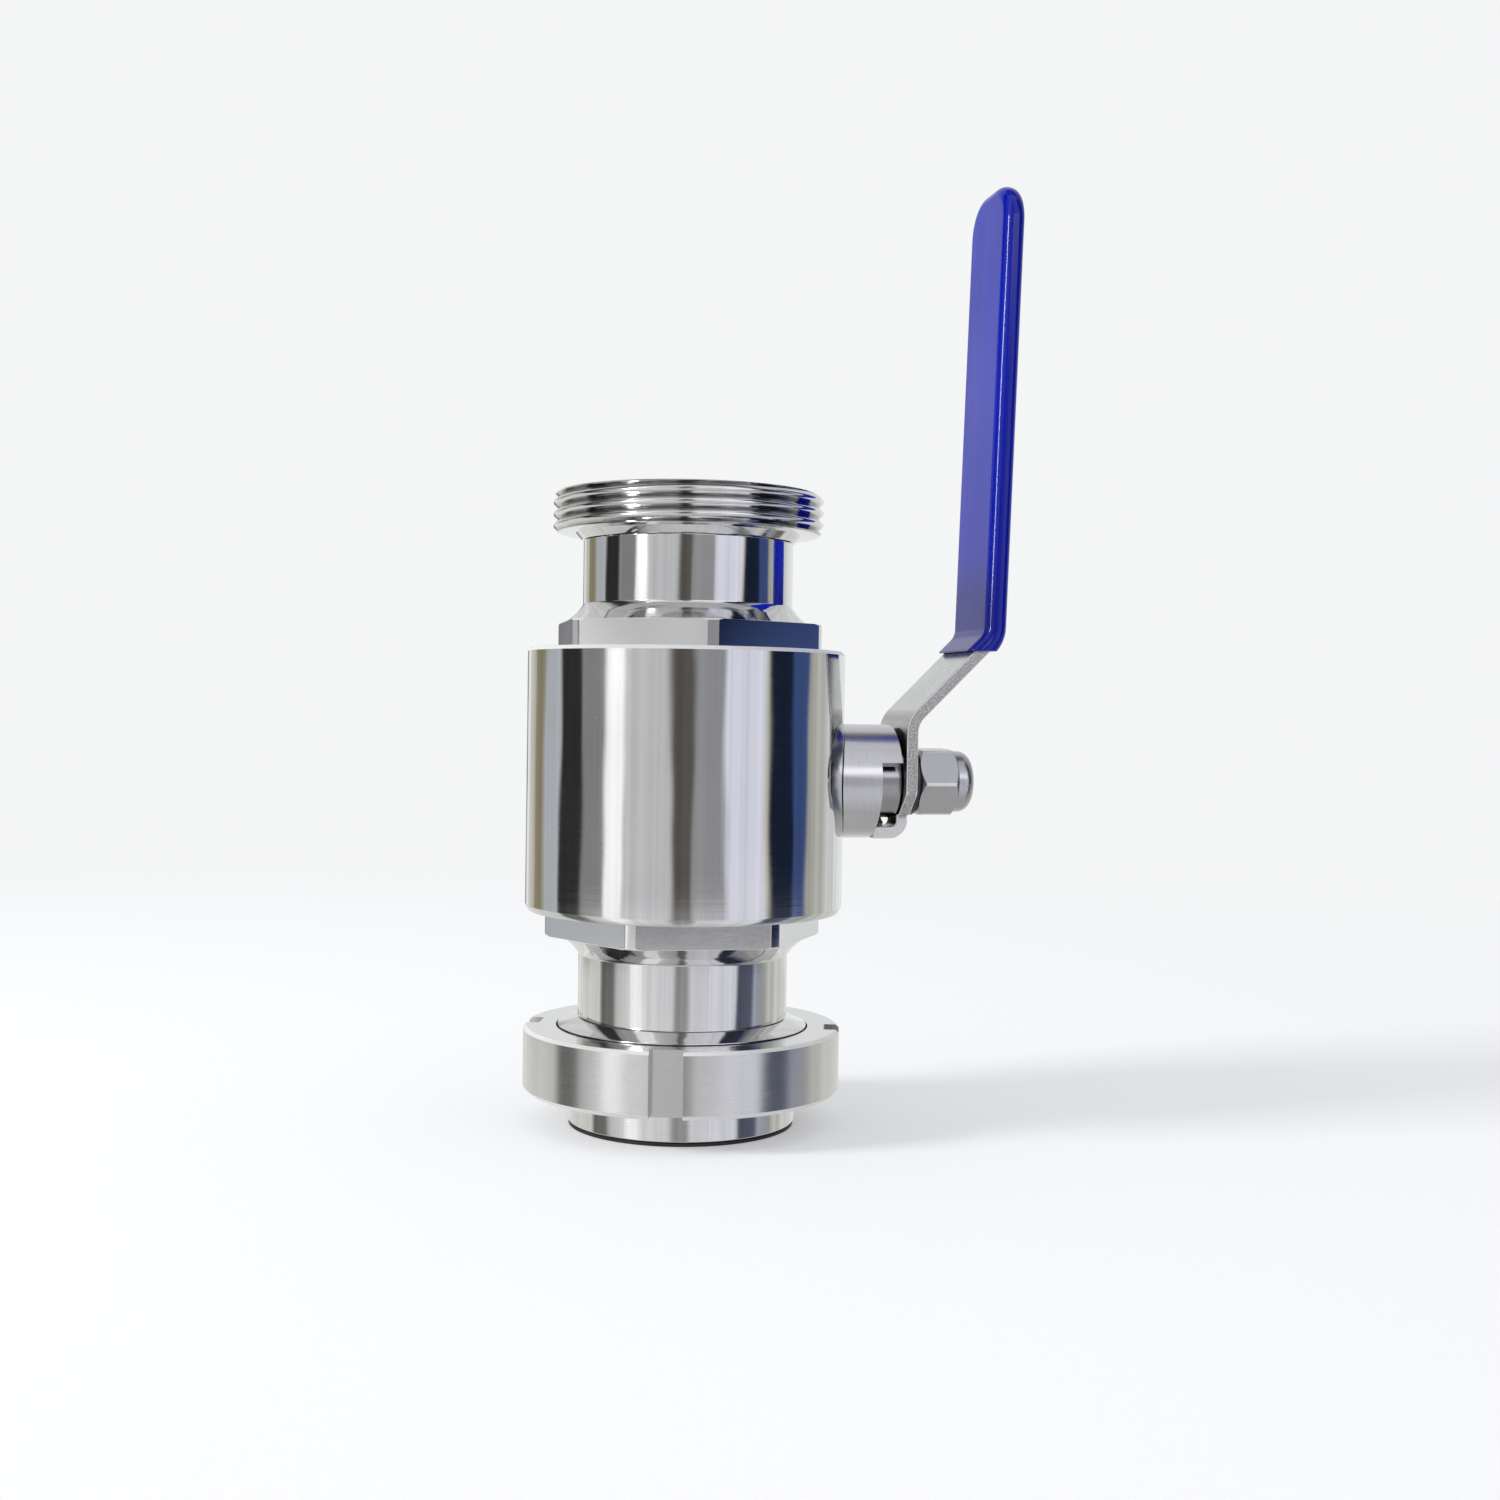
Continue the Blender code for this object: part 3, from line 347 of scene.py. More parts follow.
def noise(nodes, links, place, scale, detail=3.0, rough=0.55):
    texture = put(nodes, "TexNoise", Scale=scale, Detail=detail, Roughness=rough)
    links.new(place, texture.inputs["Vector"])
    return texture.outputs["Fac"]


def spread(nodes, links, value, low, high, start=0.3, end=0.7):
    """Carries a noise from its middle stretch to a range of its own."""
    reach = put(nodes, "MapRange", From_Min=start, From_Max=end, To_Min=low, To_Max=high)
    links.new(value, reach.inputs["Value"])
    return reach.outputs["Result"]


def tones(nodes, links, value, dark, light, start=0.3, end=0.7):
    ramp = put(nodes, "ValToRGB")
    ramp.color_ramp.elements[0].position = start
    ramp.color_ramp.elements[0].color = (*dark, 1)
    ramp.color_ramp.elements[1].position = end
    ramp.color_ramp.elements[1].color = (*light, 1)
    links.new(value, ramp.inputs[0])
    return ramp.outputs[0]


def blend_by(nodes, links, share, first, second):
    blend = put(nodes, "Mix", data_type="RGBA")
    links.new(share, blend.inputs[0])
    links.new(first, blend.inputs[6])
    links.new(second, blend.inputs[7])
    return blend.outputs[2]


def relief(nodes, links, shader, layers):
    """Stacks bumps of (height socket, depth in metres, strength) and gives them to the shader."""
    under = None
    for height, depth, strength in layers:
        bump = put(nodes, "Bump", Distance=depth, Strength=strength)
        links.new(height, bump.inputs["Height"])
        if under:
            links.new(under, bump.inputs["Normal"])
        under = bump.outputs["Normal"]
    links.new(under, shader.inputs["Normal"])


def colour_by(nodes, links, shader, value, dark, light, start=0.3, end=0.7):
    links.new(tones(nodes, links, value, dark, light, start, end), shader.inputs["Base Color"])


def roughness_by(nodes, links, shader, value, low, high, start=0.3, end=0.7):
    links.new(spread(nodes, links, value, low, high, start, end), shader.inputs["Roughness"])


def polished_finish(name):
    """Mirror-polished steel: a faint buffing haze round the piece, and fine hairlines."""
    material, nodes, links, shader = start_finish(name, grey(0.8), 1.0, 0.05)
    lathe = lathe_place(nodes, links, False)
    haze = noise(nodes, links, object_place(nodes, links), 24, 4)
    hairs = noise(nodes, links, lathe, 2600, 2)
    bands = noise(nodes, links, lathe, 240, 3)
    colour_by(nodes, links, shader, haze, (0.76, 0.765, 0.77), grey(0.83, 0.825))
    roughness_by(nodes, links, shader, reckon(nodes, links, "MULTIPLY", haze, hairs), 0.035, 0.1, 0.15, 0.4)
    relief(nodes, links, shader, [(bands, 0.00004, 0.12), (hairs, 0.000003, 0.15)])
    return material


def turned_finish(name, along_stem, roughness, dark, light, cut=0.35):
    """Steel from the lathe: close feed rings with wider, softer ones among them."""
    material, nodes, links, shader = start_finish(name, grey(0.7), 1.0, 0.24)
    lathe = lathe_place(nodes, links, along_stem)
    feed = noise(nodes, links, lathe, 3800, 2, 0.6)
    wide = noise(nodes, links, lathe, 420, 3)
    haze = noise(nodes, links, object_place(nodes, links), 40, 4)
    mixed = reckon(nodes, links, "MULTIPLY", reckon(nodes, links, "ADD", feed, haze), 0.5)
    colour_by(nodes, links, shader, mixed, dark, light)
    roughness_by(nodes, links, shader, mixed, *roughness)
    relief(nodes, links, shader, [(wide, 0.00003, 0.15), (feed, 0.000008, cut)])
    return material


def thread_finish(name, root, crest):
    """Polished thread: bright on its crests, darkened towards its roots as painted shade."""
    material = turned_finish(name, False, (0.05, 0.09), grey(0.76), grey(0.86, 0.855), 0.12)
    nodes, links = material.node_tree.nodes, material.node_tree.links
    shader = nodes["Principled BSDF"]
    split = put(nodes, "SeparateXYZ")
    links.new(lathe_place(nodes, links, False), split.inputs[0])
    height = spread(nodes, links, split.outputs["Y"], 0.0, 1.0, root * MM, crest * MM)
    plain = shader.inputs["Base Color"].links[0].from_socket
    # Painted shade: the colour darkens to dark grey towards the thread's roots.
    root_shade = blend_by(nodes, links, height, even_tone(nodes, grey(0.30)), plain)
    links.new(root_shade, shader.inputs["Base Color"])
    return material


def rolled_finish(name):
    """Rolled strip: a long fine grain, with painted shade round the stem on the side that faces the valve."""
    material, nodes, links, shader = start_finish(name, grey(0.7), 1.0, 0.25)
    grain = noise(nodes, links, object_place(nodes, links, stretch=(1, 1, 0.06)), 900, 3)
    cloud = noise(nodes, links, object_place(nodes, links), 60, 3)
    split = put(nodes, "SeparateXYZ")
    links.new(object_place(nodes, links), split.inputs[0])
    # Painted shade: the face towards the valve darkens near the stem; clear marks where none is painted.
    above = spread(nodes, links, split.outputs["Z"], 0.0, 1.0, STEM_Z + 8 * MM, STEM_Z + 32 * MM)
    outside = spread(nodes, links, split.outputs["X"], 0.0, 1.0, FLOW_X + 80 * MM, FLOW_X + 82 * MM)
    clear = reckon(nodes, links, "MAXIMUM", above, outside)
    unshaded_tone = tones(nodes, links, cloud, (0.70, 0.71, 0.70), (0.78, 0.79, 0.79))
    shaded_tone = blend_by(nodes, links, clear, even_tone(nodes, (0.20, 0.21, 0.19)), unshaded_tone)
    links.new(shaded_tone, shader.inputs["Base Color"])
    roughness_by(nodes, links, shader, grain, 0.2, 0.3)
    relief(nodes, links, shader, [(grain, 0.000006, 0.2)])
    return material


def blasted_finish(name):
    """Sheared edge roughened by the blast: coarse light and dark grain, dressed bright on the tab."""
    material, nodes, links, shader = start_finish(name, grey(0.6), 1.0, 0.5)
    pits = noise(nodes, links, object_place(nodes, links), 1500, 4, 0.7)
    split = put(nodes, "SeparateXYZ")
    links.new(object_place(nodes, links), split.inputs[0])
    above_tab = spread(nodes, links, split.outputs["Z"], 0.0, 1.0, STEM_Z - 14 * MM, STEM_Z - 12.8 * MM)
    dressed = tones(nodes, links, pits, grey(0.80), grey(0.93), 0.34, 0.66)
    coarse = tones(nodes, links, pits, grey(0.24, 0.23), grey(0.84, 0.83), 0.34, 0.66)
    links.new(blend_by(nodes, links, above_tab, dressed, coarse), shader.inputs["Base Color"])
    roughness_by(nodes, links, shader, pits, 0.4, 0.62)
    relief(nodes, links, shader, [(pits, 0.00008, 0.8)])
    return material


def vinyl_finish(name):
    """Dipped vinyl: deep even colour under a glossy skin with slow sags and a fine orange peel."""
    material, nodes, links, shader = start_finish(name, (0.004, 0.008, 0.42), 0.0, 0.06)
    sags = noise(nodes, links, object_place(nodes, links, stretch=(1, 1, 0.25)), 55, 2)
    peel = noise(nodes, links, object_place(nodes, links), 520, 2)
    colour_by(nodes, links, shader, sags, (0.002, 0.009, 0.33), (0.004, 0.015, 0.42))
    roughness_by(nodes, links, shader, peel, 0.03, 0.07)
    adjust(material, IOR=1.42)
    relief(nodes, links, shader, [(sags, 0.0006, 0.25), (peel, 0.00003, 0.2)])
    return material


def moulded_finish(name, dark, light, roughness, scale, depth):
    """Matt pieces: a fine skin grain with a little cloudiness in the colour."""
    material, nodes, links, shader = start_finish(name, light, 0.0, roughness[1])
    grain = noise(nodes, links, object_place(nodes, links), scale, 4, 0.6)
    cloud = noise(nodes, links, object_place(nodes, links), scale / 25, 3)
    colour_by(nodes, links, shader, cloud, dark, light)
    roughness_by(nodes, links, shader, grain, *roughness)
    relief(nodes, links, shader, [(grain, depth, 0.4)])
    return material


def adjust(material, **values):
    shader = material.node_tree.nodes["Principled BSDF"]
    for name, value in values.items():
        shader.inputs[name.replace("_", " ")].default_value = value


THREAD_ROOT_R = 47.0
polished = polished_finish("polished_steel")
satin = turned_finish("satin_turned_steel", False, (0.14, 0.24), grey(0.70), grey(0.82, 0.815))
bright_turned = turned_finish("bright_turned_steel", False, (0.05, 0.09), grey(0.74), grey(0.84, 0.835), 0.12)
threaded = thread_finish("polished_thread", THREAD_ROOT_R, THREAD_ROOT_R + 1.6)
stem_satin = turned_finish("satin_stem_steel", True, (0.17, 0.26), grey(0.58, 0.59), grey(0.70, 0.71))
rolled = rolled_finish("rolled_steel")
blasted = blasted_finish("blasted_edge_steel")
nut_steel = turned_finish("satin_nut_steel", True, (0.2, 0.3), grey(0.50, 0.52), grey(0.60, 0.61), 0.2)
# Darker satin steel for the gland nut: painted shade of the recess it sits in.
shaded_gland_steel = turned_finish("shaded_satin_gland_steel", True, (0.16, 0.24), grey(0.34, 0.35), grey(0.44, 0.45), 0.2)
# Near-white, half-metallic finish for broken edges and corners: a painted highlight.
edge_highlight = turned_finish("rubbed_corner_steel", True, (0.32, 0.4), grey(0.93), grey(0.97), 0.1)
adjust(edge_highlight, Metallic=0.3)
# Near-black steel for the walls of gaps and recesses: painted shade.
gap_shade_steel = turned_finish("painted_shade_bore_steel", False, (0.45, 0.6), grey(0.05, 0.052), grey(0.09))
# Near-black steel for the lock washer: painted shade between the lever and the lock nut.
washer_shade_steel = turned_finish("painted_shade_spring_steel", True, (0.25, 0.4), grey(0.05, 0.055), grey(0.1, 0.105))
ptfe = moulded_finish("white_ptfe", grey(0.80, 0.78), grey(0.87, 0.85), (0.32, 0.5), 900, 0.00002)
adjust(ptfe, Subsurface_Weight=0.15, Subsurface_Scale=0.002)
rubber = moulded_finish("black_rubber", grey(0.012, 0.013), grey(0.026, 0.028), (0.5, 0.75), 1800, 0.00003)
nylon = moulded_finish("nylon_insert", (0.04, 0.10, 0.34), (0.06, 0.14, 0.44), (0.35, 0.5), 1200, 0.00002)
vinyl = vinyl_finish("dipped_blue_vinyl")


# Body shell

body_shell = turn("body_shell", [
    (BODY_R - 1.3, BODY_HALF), (BODY_R, BODY_HALF - 1.3), (BODY_R, 2.4 - BODY_HALF),
    (BODY_R - 1.2, -BODY_HALF), (SOCKET_R, -BODY_HALF), (SOCKET_R, -30.65), (53.0, -30.65),
    (53.0, 30.65), (SOCKET_R, 30.65), (SOCKET_R, BODY_HALF),
])
hole = prism("spigot_hole", 18.0, 43, 70, STEM_STEPS)
hole.rotation_euler = (0, math.pi / 2, 0)
work(body_shell, settle(hole))
break_edges(body_shell, 0.25)
finish(on_flow_axis(body_shell, STEM_Z), "valve_body", polished)
# The body's upper broken edges carry a painted highlight.
paint_edge_highlights(body_shell, BODY_R - 1.25, STEM_Z)


# End caps: barrel, hexagon with turned corners, flare and neck

def end_cap(name, neck_end, corner, upside_down):
    flare_foot = 56.55
    cap = turn(name, [
        (NECK_R, neck_end), (NECK_R, 63.2), (38.12, 62.9), (38.6, 62.15), (40.6, 59.6),
        (44.3, flare_foot), (44.3, 47.2), (BARREL_R, 47.2), (BARREL_R, 35.4), (50.7, 35.4),
        (50.7, 32.5), (BARREL_R, 32.5), (BARREL_R, 31.0), (47.3, 31.0), (47.3, 42.3), (BORE_R, 42.3),
        (BORE_R, neck_end),
    ])
    break_edges(cap, 0.2, 40)
    turned_corners = turn(name + "_corners", [
        (49.3, flare_foot), (50.3, 56.0), (50.3, 46.2), (NECK_R, 46.2), (NECK_R, flare_foot),
    ])
    hexagon = prism(name + "_hexagon", 51.38, 0, 110, 6, corner - math.pi / 2, 0.9)
    work(turned_corners, hexagon, "INTERSECT")
    break_edges(turned_corners, 0.6, 24)
    work(cap, turned_corners, "UNION")
    clean(cap)
    finish(on_flow_axis(cap, STEM_Z, upside_down), "valve_body", polished)
    # The cap's outer broken edges carry a painted highlight.
    return paint_edge_highlights(cap, 43.9)


end_cap("upper_end_cap", 85.8, math.radians(-90.5), False)
end_cap("lower_end_cap", 85.6, math.radians(121.3), True)


# Ball, seats and seals

def fine_ball():
    bpy.ops.object.select_all(action="DESELECT")
    bpy.ops.mesh.primitive_uv_sphere_add(segments=96, ring_count=48, radius=BALL_R * MM)
    ball = bpy.context.object
    ball.name = "ball"
    work(ball, prism("ball_bore", BORE_R, -60, 60, ROUND_STEPS))
    work(ball, block("ball_slot", (43.5, -52, -6.2), (60, 52, 6.2)))
    break_edges(ball, 0.5, 30)
    return finish(on_flow_axis(ball, STEM_Z), "lever_assembly", polished)


fine_ball()


def seat(name, upside_down):
    sphere = BALL_R + 0.3
    inner = BORE_R + 0.3
    first = math.asin(30 / sphere)
    last = math.acos(inner / sphere)
    angles = [first + (last - first) * k / 10 for k in range(11)]
    face = [(sphere * math.cos(a), sphere * math.sin(a)) for a in angles]
    ring = turn(name, [(47.0, 42.0), (47.0, 30.0), *face, (inner, 42.0)])
    break_edges(ring, 0.2)
    return finish(on_flow_axis(ring, STEM_Z, upside_down), "valve_body", ptfe)


seat("upper_seat", False)
seat("lower_seat", True)


def seal(name, height):
    bpy.ops.object.select_all(action="DESELECT")
    bpy.ops.mesh.primitive_torus_add(
        location=(0, 0, height * MM), major_segments=ROUND_STEPS, minor_segments=12,
        major_radius=52.15 * MM, minor_radius=1.15 * MM,
    )
    ring = bpy.context.object
    ring.name = name
    settle(ring)
    return finish(on_flow_axis(ring, STEM_Z), "valve_body", rubber)


seal("upper_body_seal", 33.95)
seal("lower_body_seal", -33.95)


# Round union thread, cut by moving the rings of a turned band

PITCH = 25.4 / 6
THREAD_DEPTH = 2.0
THREAD_EASE = 1.5
MALE_FOOT, MALE_TOP = 213.6, 228.3


def round_thread(piece, inner, foot, top, first_crest):
    """Waves every ring between foot and top along the helix; the ends ease out over a chamfer."""
    for vertex in piece.data.vertices:
        x, y, z = (c / MM for c in vertex.co)
        radius = math.hypot(x, y)
        if not foot - 0.01 <= z <= top + 0.01 or abs(radius - inner) > 0.05:
            continue
        lead = math.atan2(y, x) / (2 * math.pi) * PITCH
        phase = (z - first_crest - lead) / PITCH
        wave = (0.5 + 0.5 * math.cos(2 * math.pi * phase)) ** 0.62
        room = min(z - foot, top - z) / THREAD_EASE
        share = min(wave, max(0.0, room))
        grow = 1 + THREAD_DEPTH * share / radius
        vertex.co.x *= grow
        vertex.co.y *= grow


def thread_heights(foot, top, step=0.22):
    count = round((top - foot) / step)
    return [foot + (top - foot) * k / count for k in range(count + 1)]


male_rings = [(THREAD_ROOT_R, z) for z in reversed(thread_heights(MALE_FOOT, MALE_TOP))]
male_union_end = turn("male_union_end", [
    (BORE_R, MALE_TOP), (46.6, MALE_TOP), *male_rings[1:-1], (46.4, 213.65), (42.0, MALE_FOOT),
    (41.0, 213.5), (39.0, 211.2), (38.65, 210.9), (BORE_R, 210.9),
])
round_thread(male_union_end, THREAD_ROOT_R, MALE_FOOT, MALE_TOP, MALE_FOOT - PITCH)
finish(on_flow_axis(male_union_end), "valve_body", bright_turned, 40)


def on_thread(face):
    return from_flow_axis(face) > THREAD_ROOT_R - 0.1 and MALE_FOOT < face.center.z / MM < MALE_TOP


dress_faces(male_union_end, threaded, on_thread)


# Union liner with its tongued gasket

union_liner = turn("union_liner", [
    (38.6, 38.9), (45.3, 36.2), (45.3, 30.4), (46.8, 30.4), (46.8, 20.4), (41.2, 17.6), (41.2, 1.8),
    (40.9, 1.5), (39.95, 1.5), (39.95, 4.6), (37.55, 4.6), (37.55, 1.5), (BORE_R, 1.5), (BORE_R, 38.9),
])
break_edges(union_liner, 0.2)
finish(on_flow_axis(union_liner), "valve_body", bright_turned)
# The liner's wall inside the nut's gap takes painted shade.
shade_gap_walls(union_liner, 44.8, 45.5, 30.4, 35.9)

union_gasket = turn("union_gasket", [
    (39.65, 4.3), (39.65, 1.2), (40.9, 1.2), (40.9, 0), (BORE_R, 0), (BORE_R, 1.2), (37.85, 1.2),
    (37.85, 4.3),
])
break_edges(union_gasket, 0.25)
finish(on_flow_axis(union_gasket), "valve_body", rubber)


# Slotted union nut

def slotted_nut():
    outer, foot, top = 57.6, 12.6, 35.7
    minor = THREAD_ROOT_R + 0.2
    thread_foot, thread_top = 14.2, 30.7
    rings = [(minor, z) for z in thread_heights(thread_foot, thread_top)]
    nut = turn("union_nut", [
        (56.5, top), (outer, top - 1.1), (outer, foot + 1.7), (55.9, foot), (48.8, foot), *rings,
        (45.8, thread_top), (45.8, top),
    ])
    round_thread(nut, minor, thread_foot, thread_top, thread_foot)
    slot_depth, half_slot = 5.8, 5.75
    for k in range(4):
        angle = math.radians(-105.7) + k * math.pi / 2
        slot = block("spanner_slot", (outer - slot_depth, -half_slot, 0), (70, half_slot, 50), angle)
        work(nut, slot)
    clean(nut)
    break_edges(nut, 0.3, 60)
    finish(on_flow_axis(nut), "slotted_nut", satin)
    # The nut's bore wall at its mouth takes painted shade.
    shade_gap_walls(nut, 45.0, 46.2, 31.2, 35.0)
    # The nut's outer broken edges carry a painted highlight.
    return paint_edge_highlights(nut, 55.6)


slotted_nut()


# Stem collar: saddled boss with a bored recess and the stop notch

NOTCH_FOOT = 68.7


def stem_collar():
    outer, end = 21.1, 77.0
    collar = turn("stem_collar", [(outer - 0.6, end), (outer, end - 0.6), (outer, 43.8)], STEM_STEPS, True)
    saddle = prism("body_saddle", 57.85, -60, 60, ROUND_STEPS)
    saddle.rotation_euler = (0, math.pi / 2, 0)
    work(collar, settle(saddle))
    work(collar, prism("spigot", 17.7, 54, 66.7, STEM_STEPS), "UNION")
    bore = turn("collar_bore", [
        (16.8, 90), (16.8, NOTCH_FOOT), (12.0, NOTCH_FOOT), (12.0, 57.8), (STEM_HOLE_R, 57.8),
        (STEM_HOLE_R, 56.3), (12.5, 56.3), (12.5, 43.8),
    ], STEM_STEPS, True)
    work(collar, bore)
    work(collar, notch_sector())
    clean(collar)
    break_edges(collar, 0.25, 32)
    finish(on_stem_axis(collar), "valve_body", stem_satin)

    def in_recess(face):
        return from_stem_axis(face) < 17.2 and face.center.x - FLOW_X > 57 * MM

    # The collar's recess walls take the near-black steel: painted shade.
    return dress_faces(collar, gap_shade_steel, in_recess)


def notch_sector():
    """A ring sector from straight down to the near side, as deep as the notch."""
    half_tab, tab_r, play = 5.8, 16.7, math.radians(1.2)
    inner, across, half_deep = 16.5, 13.2, 8.3
    start = math.atan2(half_tab, tab_r) + play
    sweep = math.pi / 2 + 2 * start
    bpy.ops.object.select_all(action="DESELECT")
    bpy.ops.mesh.primitive_plane_add(size=1)
    sector = bpy.context.object
    sector.name = "stop_notch"
    edit()
    bpy.ops.mesh.select_all(action="SELECT")
    bpy.ops.transform.rotate(value=math.pi / 2, orient_axis="X", center_override=(0, 0, 0))
    bpy.ops.transform.resize(value=(across * MM, 1, half_deep * 2 * MM), center_override=(0, 0, 0))
    bpy.ops.transform.translate(value=((inner + across / 2) * MM, 0, (NOTCH_FOOT + half_deep) * MM))
    bpy.ops.mesh.spin(steps=24, angle=sweep, center=(0, 0, 0), axis=(0, 0, 1), use_normal_flip=False)
    face_out()
    leave()
    sector.rotation_euler = (0, 0, start)
    return settle(sector)


stem_collar()


# Stem, thrust washer, packing and gland nut

def stem():
    end, crest, root, pitch = 107.7, 8.0, 7.1, 2.0
    threads = []
    height = end - 1.0
    while height > 90:
        threads += [(crest, height), (crest, height - 0.5), (root, height - 1.2), (root, height - 1.3)]
        height -= pitch
    shaft = turn("stem", [
        (7.0, end), *threads, (crest, height), (crest, 54.5), (12.2, 54.5), (12.2, 43.8),
    ], STEM_STEPS, True)
    for side in (-1, 1):
        near, far = sorted((side * 5.9, side * 30))
        work(shaft, block("tang_side", (near, -30, 20), (far, 30, 52.3)))
        near, far = sorted((side * 6.0, side * 30))
        work(shaft, block("stem_flat", (-30, near, 78.3), (30, far, 130)))
    clean(shaft)
    break_edges(shaft, 0.12, 34, 1)
    return finish(on_stem_axis(shaft), "lever_assembly", stem_satin)


stem()


def stem_ring(name, inner, outer, foot, top, body, material, edge=0.25):
    ring = turn(name, [(outer, top), (outer, foot), (inner, foot), (inner, top)], STEM_STEPS)
    break_edges(ring, edge)
    return finish(on_stem_axis(ring), body, material)


PACKING_R = 11.7
stem_ring("stem_thrust_washer", STEM_HOLE_R, 12.2, 54.8, 56.0, "valve_body", ptfe)
for ring in range(3):
    foot = 58.1 + 2.3 * ring
    name = f"stem_packing_{ring + 1}"
    stem_ring(name, STEM_HOLE_R, PACKING_R, foot, foot + 2.0, "valve_body", ptfe, 0.4)

GLAND_TOP, GLAND_HEAD_R = 78.1, 13.6
gland_nut = turn("gland_nut", [
    (GLAND_HEAD_R, GLAND_TOP), (GLAND_HEAD_R, 69.0), (PACKING_R, 69.0), (PACKING_R, 65.0),
    (STEM_HOLE_R, 65.0), (STEM_HOLE_R, GLAND_TOP),
], STEM_STEPS)
work(gland_nut, block("gland_slot", (-20, -1.5, GLAND_TOP - 2), (20, 1.5, 90)))
break_edges(gland_nut, 0.3)
finish(on_stem_axis(gland_nut), "valve_body", shaded_gland_steel)


# Lever plate and grip: flat bars cut to their outline, rounded at the rims, then bent

LEVER_IN, LEVER_T = 78.6, 4.4
LEVER_MID = LEVER_IN + LEVER_T / 2
TAB_END, TAB_DROP, TAB_R = 69.4, 18.9, 4.4
TAB_EDGE = -14.5
CRANK_START, CRANK_RISE, CRANK_R = 22.4, 31.2, 10.0
CRANK = math.radians(45)
LEAN = math.radians(1.63)
GRIP_TOP = 221.6
GRIP_FOOT = 48.6
LOW_REACH = CRANK_R * math.tan(CRANK / 2)
HIGH_REACH = CRANK_R * math.tan((CRANK - LEAN) / 2)

BAR_LINE = [
    (LEVER_MID - TAB_R - TAB_END, 0),
    (TAB_R * math.pi / 2, -math.pi / 2),
    (TAB_DROP - TAB_R + CRANK_START - LOW_REACH, 0),
    (CRANK_R * CRANK, CRANK),
    (CRANK_RISE * math.sqrt(2) - LOW_REACH - HIGH_REACH, 0),
    (CRANK_R * (CRANK - LEAN), LEAN - CRANK),
    (200, 0),
]


def along_bar(distance):
    """Where the bar's middle line is so far from the tab's end, and its lean from the upright."""
    out, height, lean = TAB_END, -TAB_DROP, math.pi / 2
    for length, bend in BAR_LINE:
        step = min(distance, length)
        bent = bend * step / length
        chord = step
        if bend:
            chord = 2 * length / abs(bend) * math.sin(abs(bent) / 2)
        out += chord * math.sin(lean + bent / 2)
        height += chord * math.cos(lean + bent / 2)
        lean += bent
        distance -= step
        if distance <= 0:
            break
    return out, height, lean


def bar_distance(height):
    """How far along the bar a height above the stem is, above the tab's bend."""
    low, high = 16.0, 300.0
    for _ in range(40):
        middle = (low + high) / 2
        if along_bar(middle)[1] < height:
            low = middle
        else:
            high = middle
    return low


def bend_cuts():
    """The distances at which the bar is cut across so that its bends are round."""
    cuts = []
    start = 0.0
    for length, bend in BAR_LINE[:-1]:
        if bend:
            count = math.ceil(abs(bend) / math.radians(4.5))
            cuts += [start + length * k / count for k in range(count + 1)]
        start += length
    return cuts


def rounded_tip(half, top, corner, steps=22):
    """The right-hand half of a rounded tip, from its side up to the middle."""
    points = []
    for k in range(steps + 1):
        angle = math.pi / 2 * k / steps
        points.append((half - corner + corner * math.cos(angle), top - corner + corner * math.sin(angle)))
    return points


def flat_bar(name, right_side, thickness, rim, steps):
    """A bar of the given half outline (half width, distance), rims rounded, bent along the bar's line."""
    outline = right_side + [(-side, distance) for side, distance in reversed(right_side)]
    bpy.ops.object.select_all(action="DESELECT")
    bpy.ops.mesh.primitive_circle_add(vertices=len(outline), radius=MM, fill_type="NGON")
    bar = bpy.context.object
    bar.name = name
    for vertex, (side, distance) in zip(bar.data.vertices, outline):
        vertex.co = (-thickness / 2 * MM, side * MM, distance * MM)
    edit()
    bpy.ops.mesh.select_all(action="SELECT")
    bpy.ops.mesh.extrude_region_move(TRANSFORM_OT_translate={"value": (thickness * MM, 0, 0)})
    face_out()
    shape = bmesh.from_edit_mesh(bar.data)
    for edge in shape.edges:
        edge.select = abs(edge.verts[0].co.x - edge.verts[1].co.x) < 1e-7
    bmesh.update_edit_mesh(bar.data)
    bpy.ops.mesh.bevel(offset=rim * MM, segments=steps, affect="EDGES", clamp_overlap=True)
    for distance in bend_cuts():
        bpy.ops.mesh.select_all(action="SELECT")
        bpy.ops.mesh.bisect(plane_co=(0, 0, distance * MM), plane_no=(0, 0, 1))
    face_out()
    leave()
    for vertex in bar.data.vertices:
        out, height, lean = along_bar(vertex.co.z / MM)
        from_middle = vertex.co.x / MM
        vertex.co.x = (out + from_middle * math.cos(lean)) * MM
        vertex.co.z = (height - from_middle * math.sin(lean)) * MM
    bar.location = (FLOW_X, 0, STEM_Z)
    return settle(bar)


def rim_share(face):
    """How squarely a face of the plate looks along its thickness: 1 on the flats, 0 on the sheared rim."""
    height = (face.center.z - STEM_Z) / MM
    if height <= TAB_EDGE:
        return math.hypot(face.normal.x, face.normal.z)
    lean = along_bar(bar_distance(height))[2]
    return abs(face.normal.x * math.cos(lean) - face.normal.z * math.sin(lean))


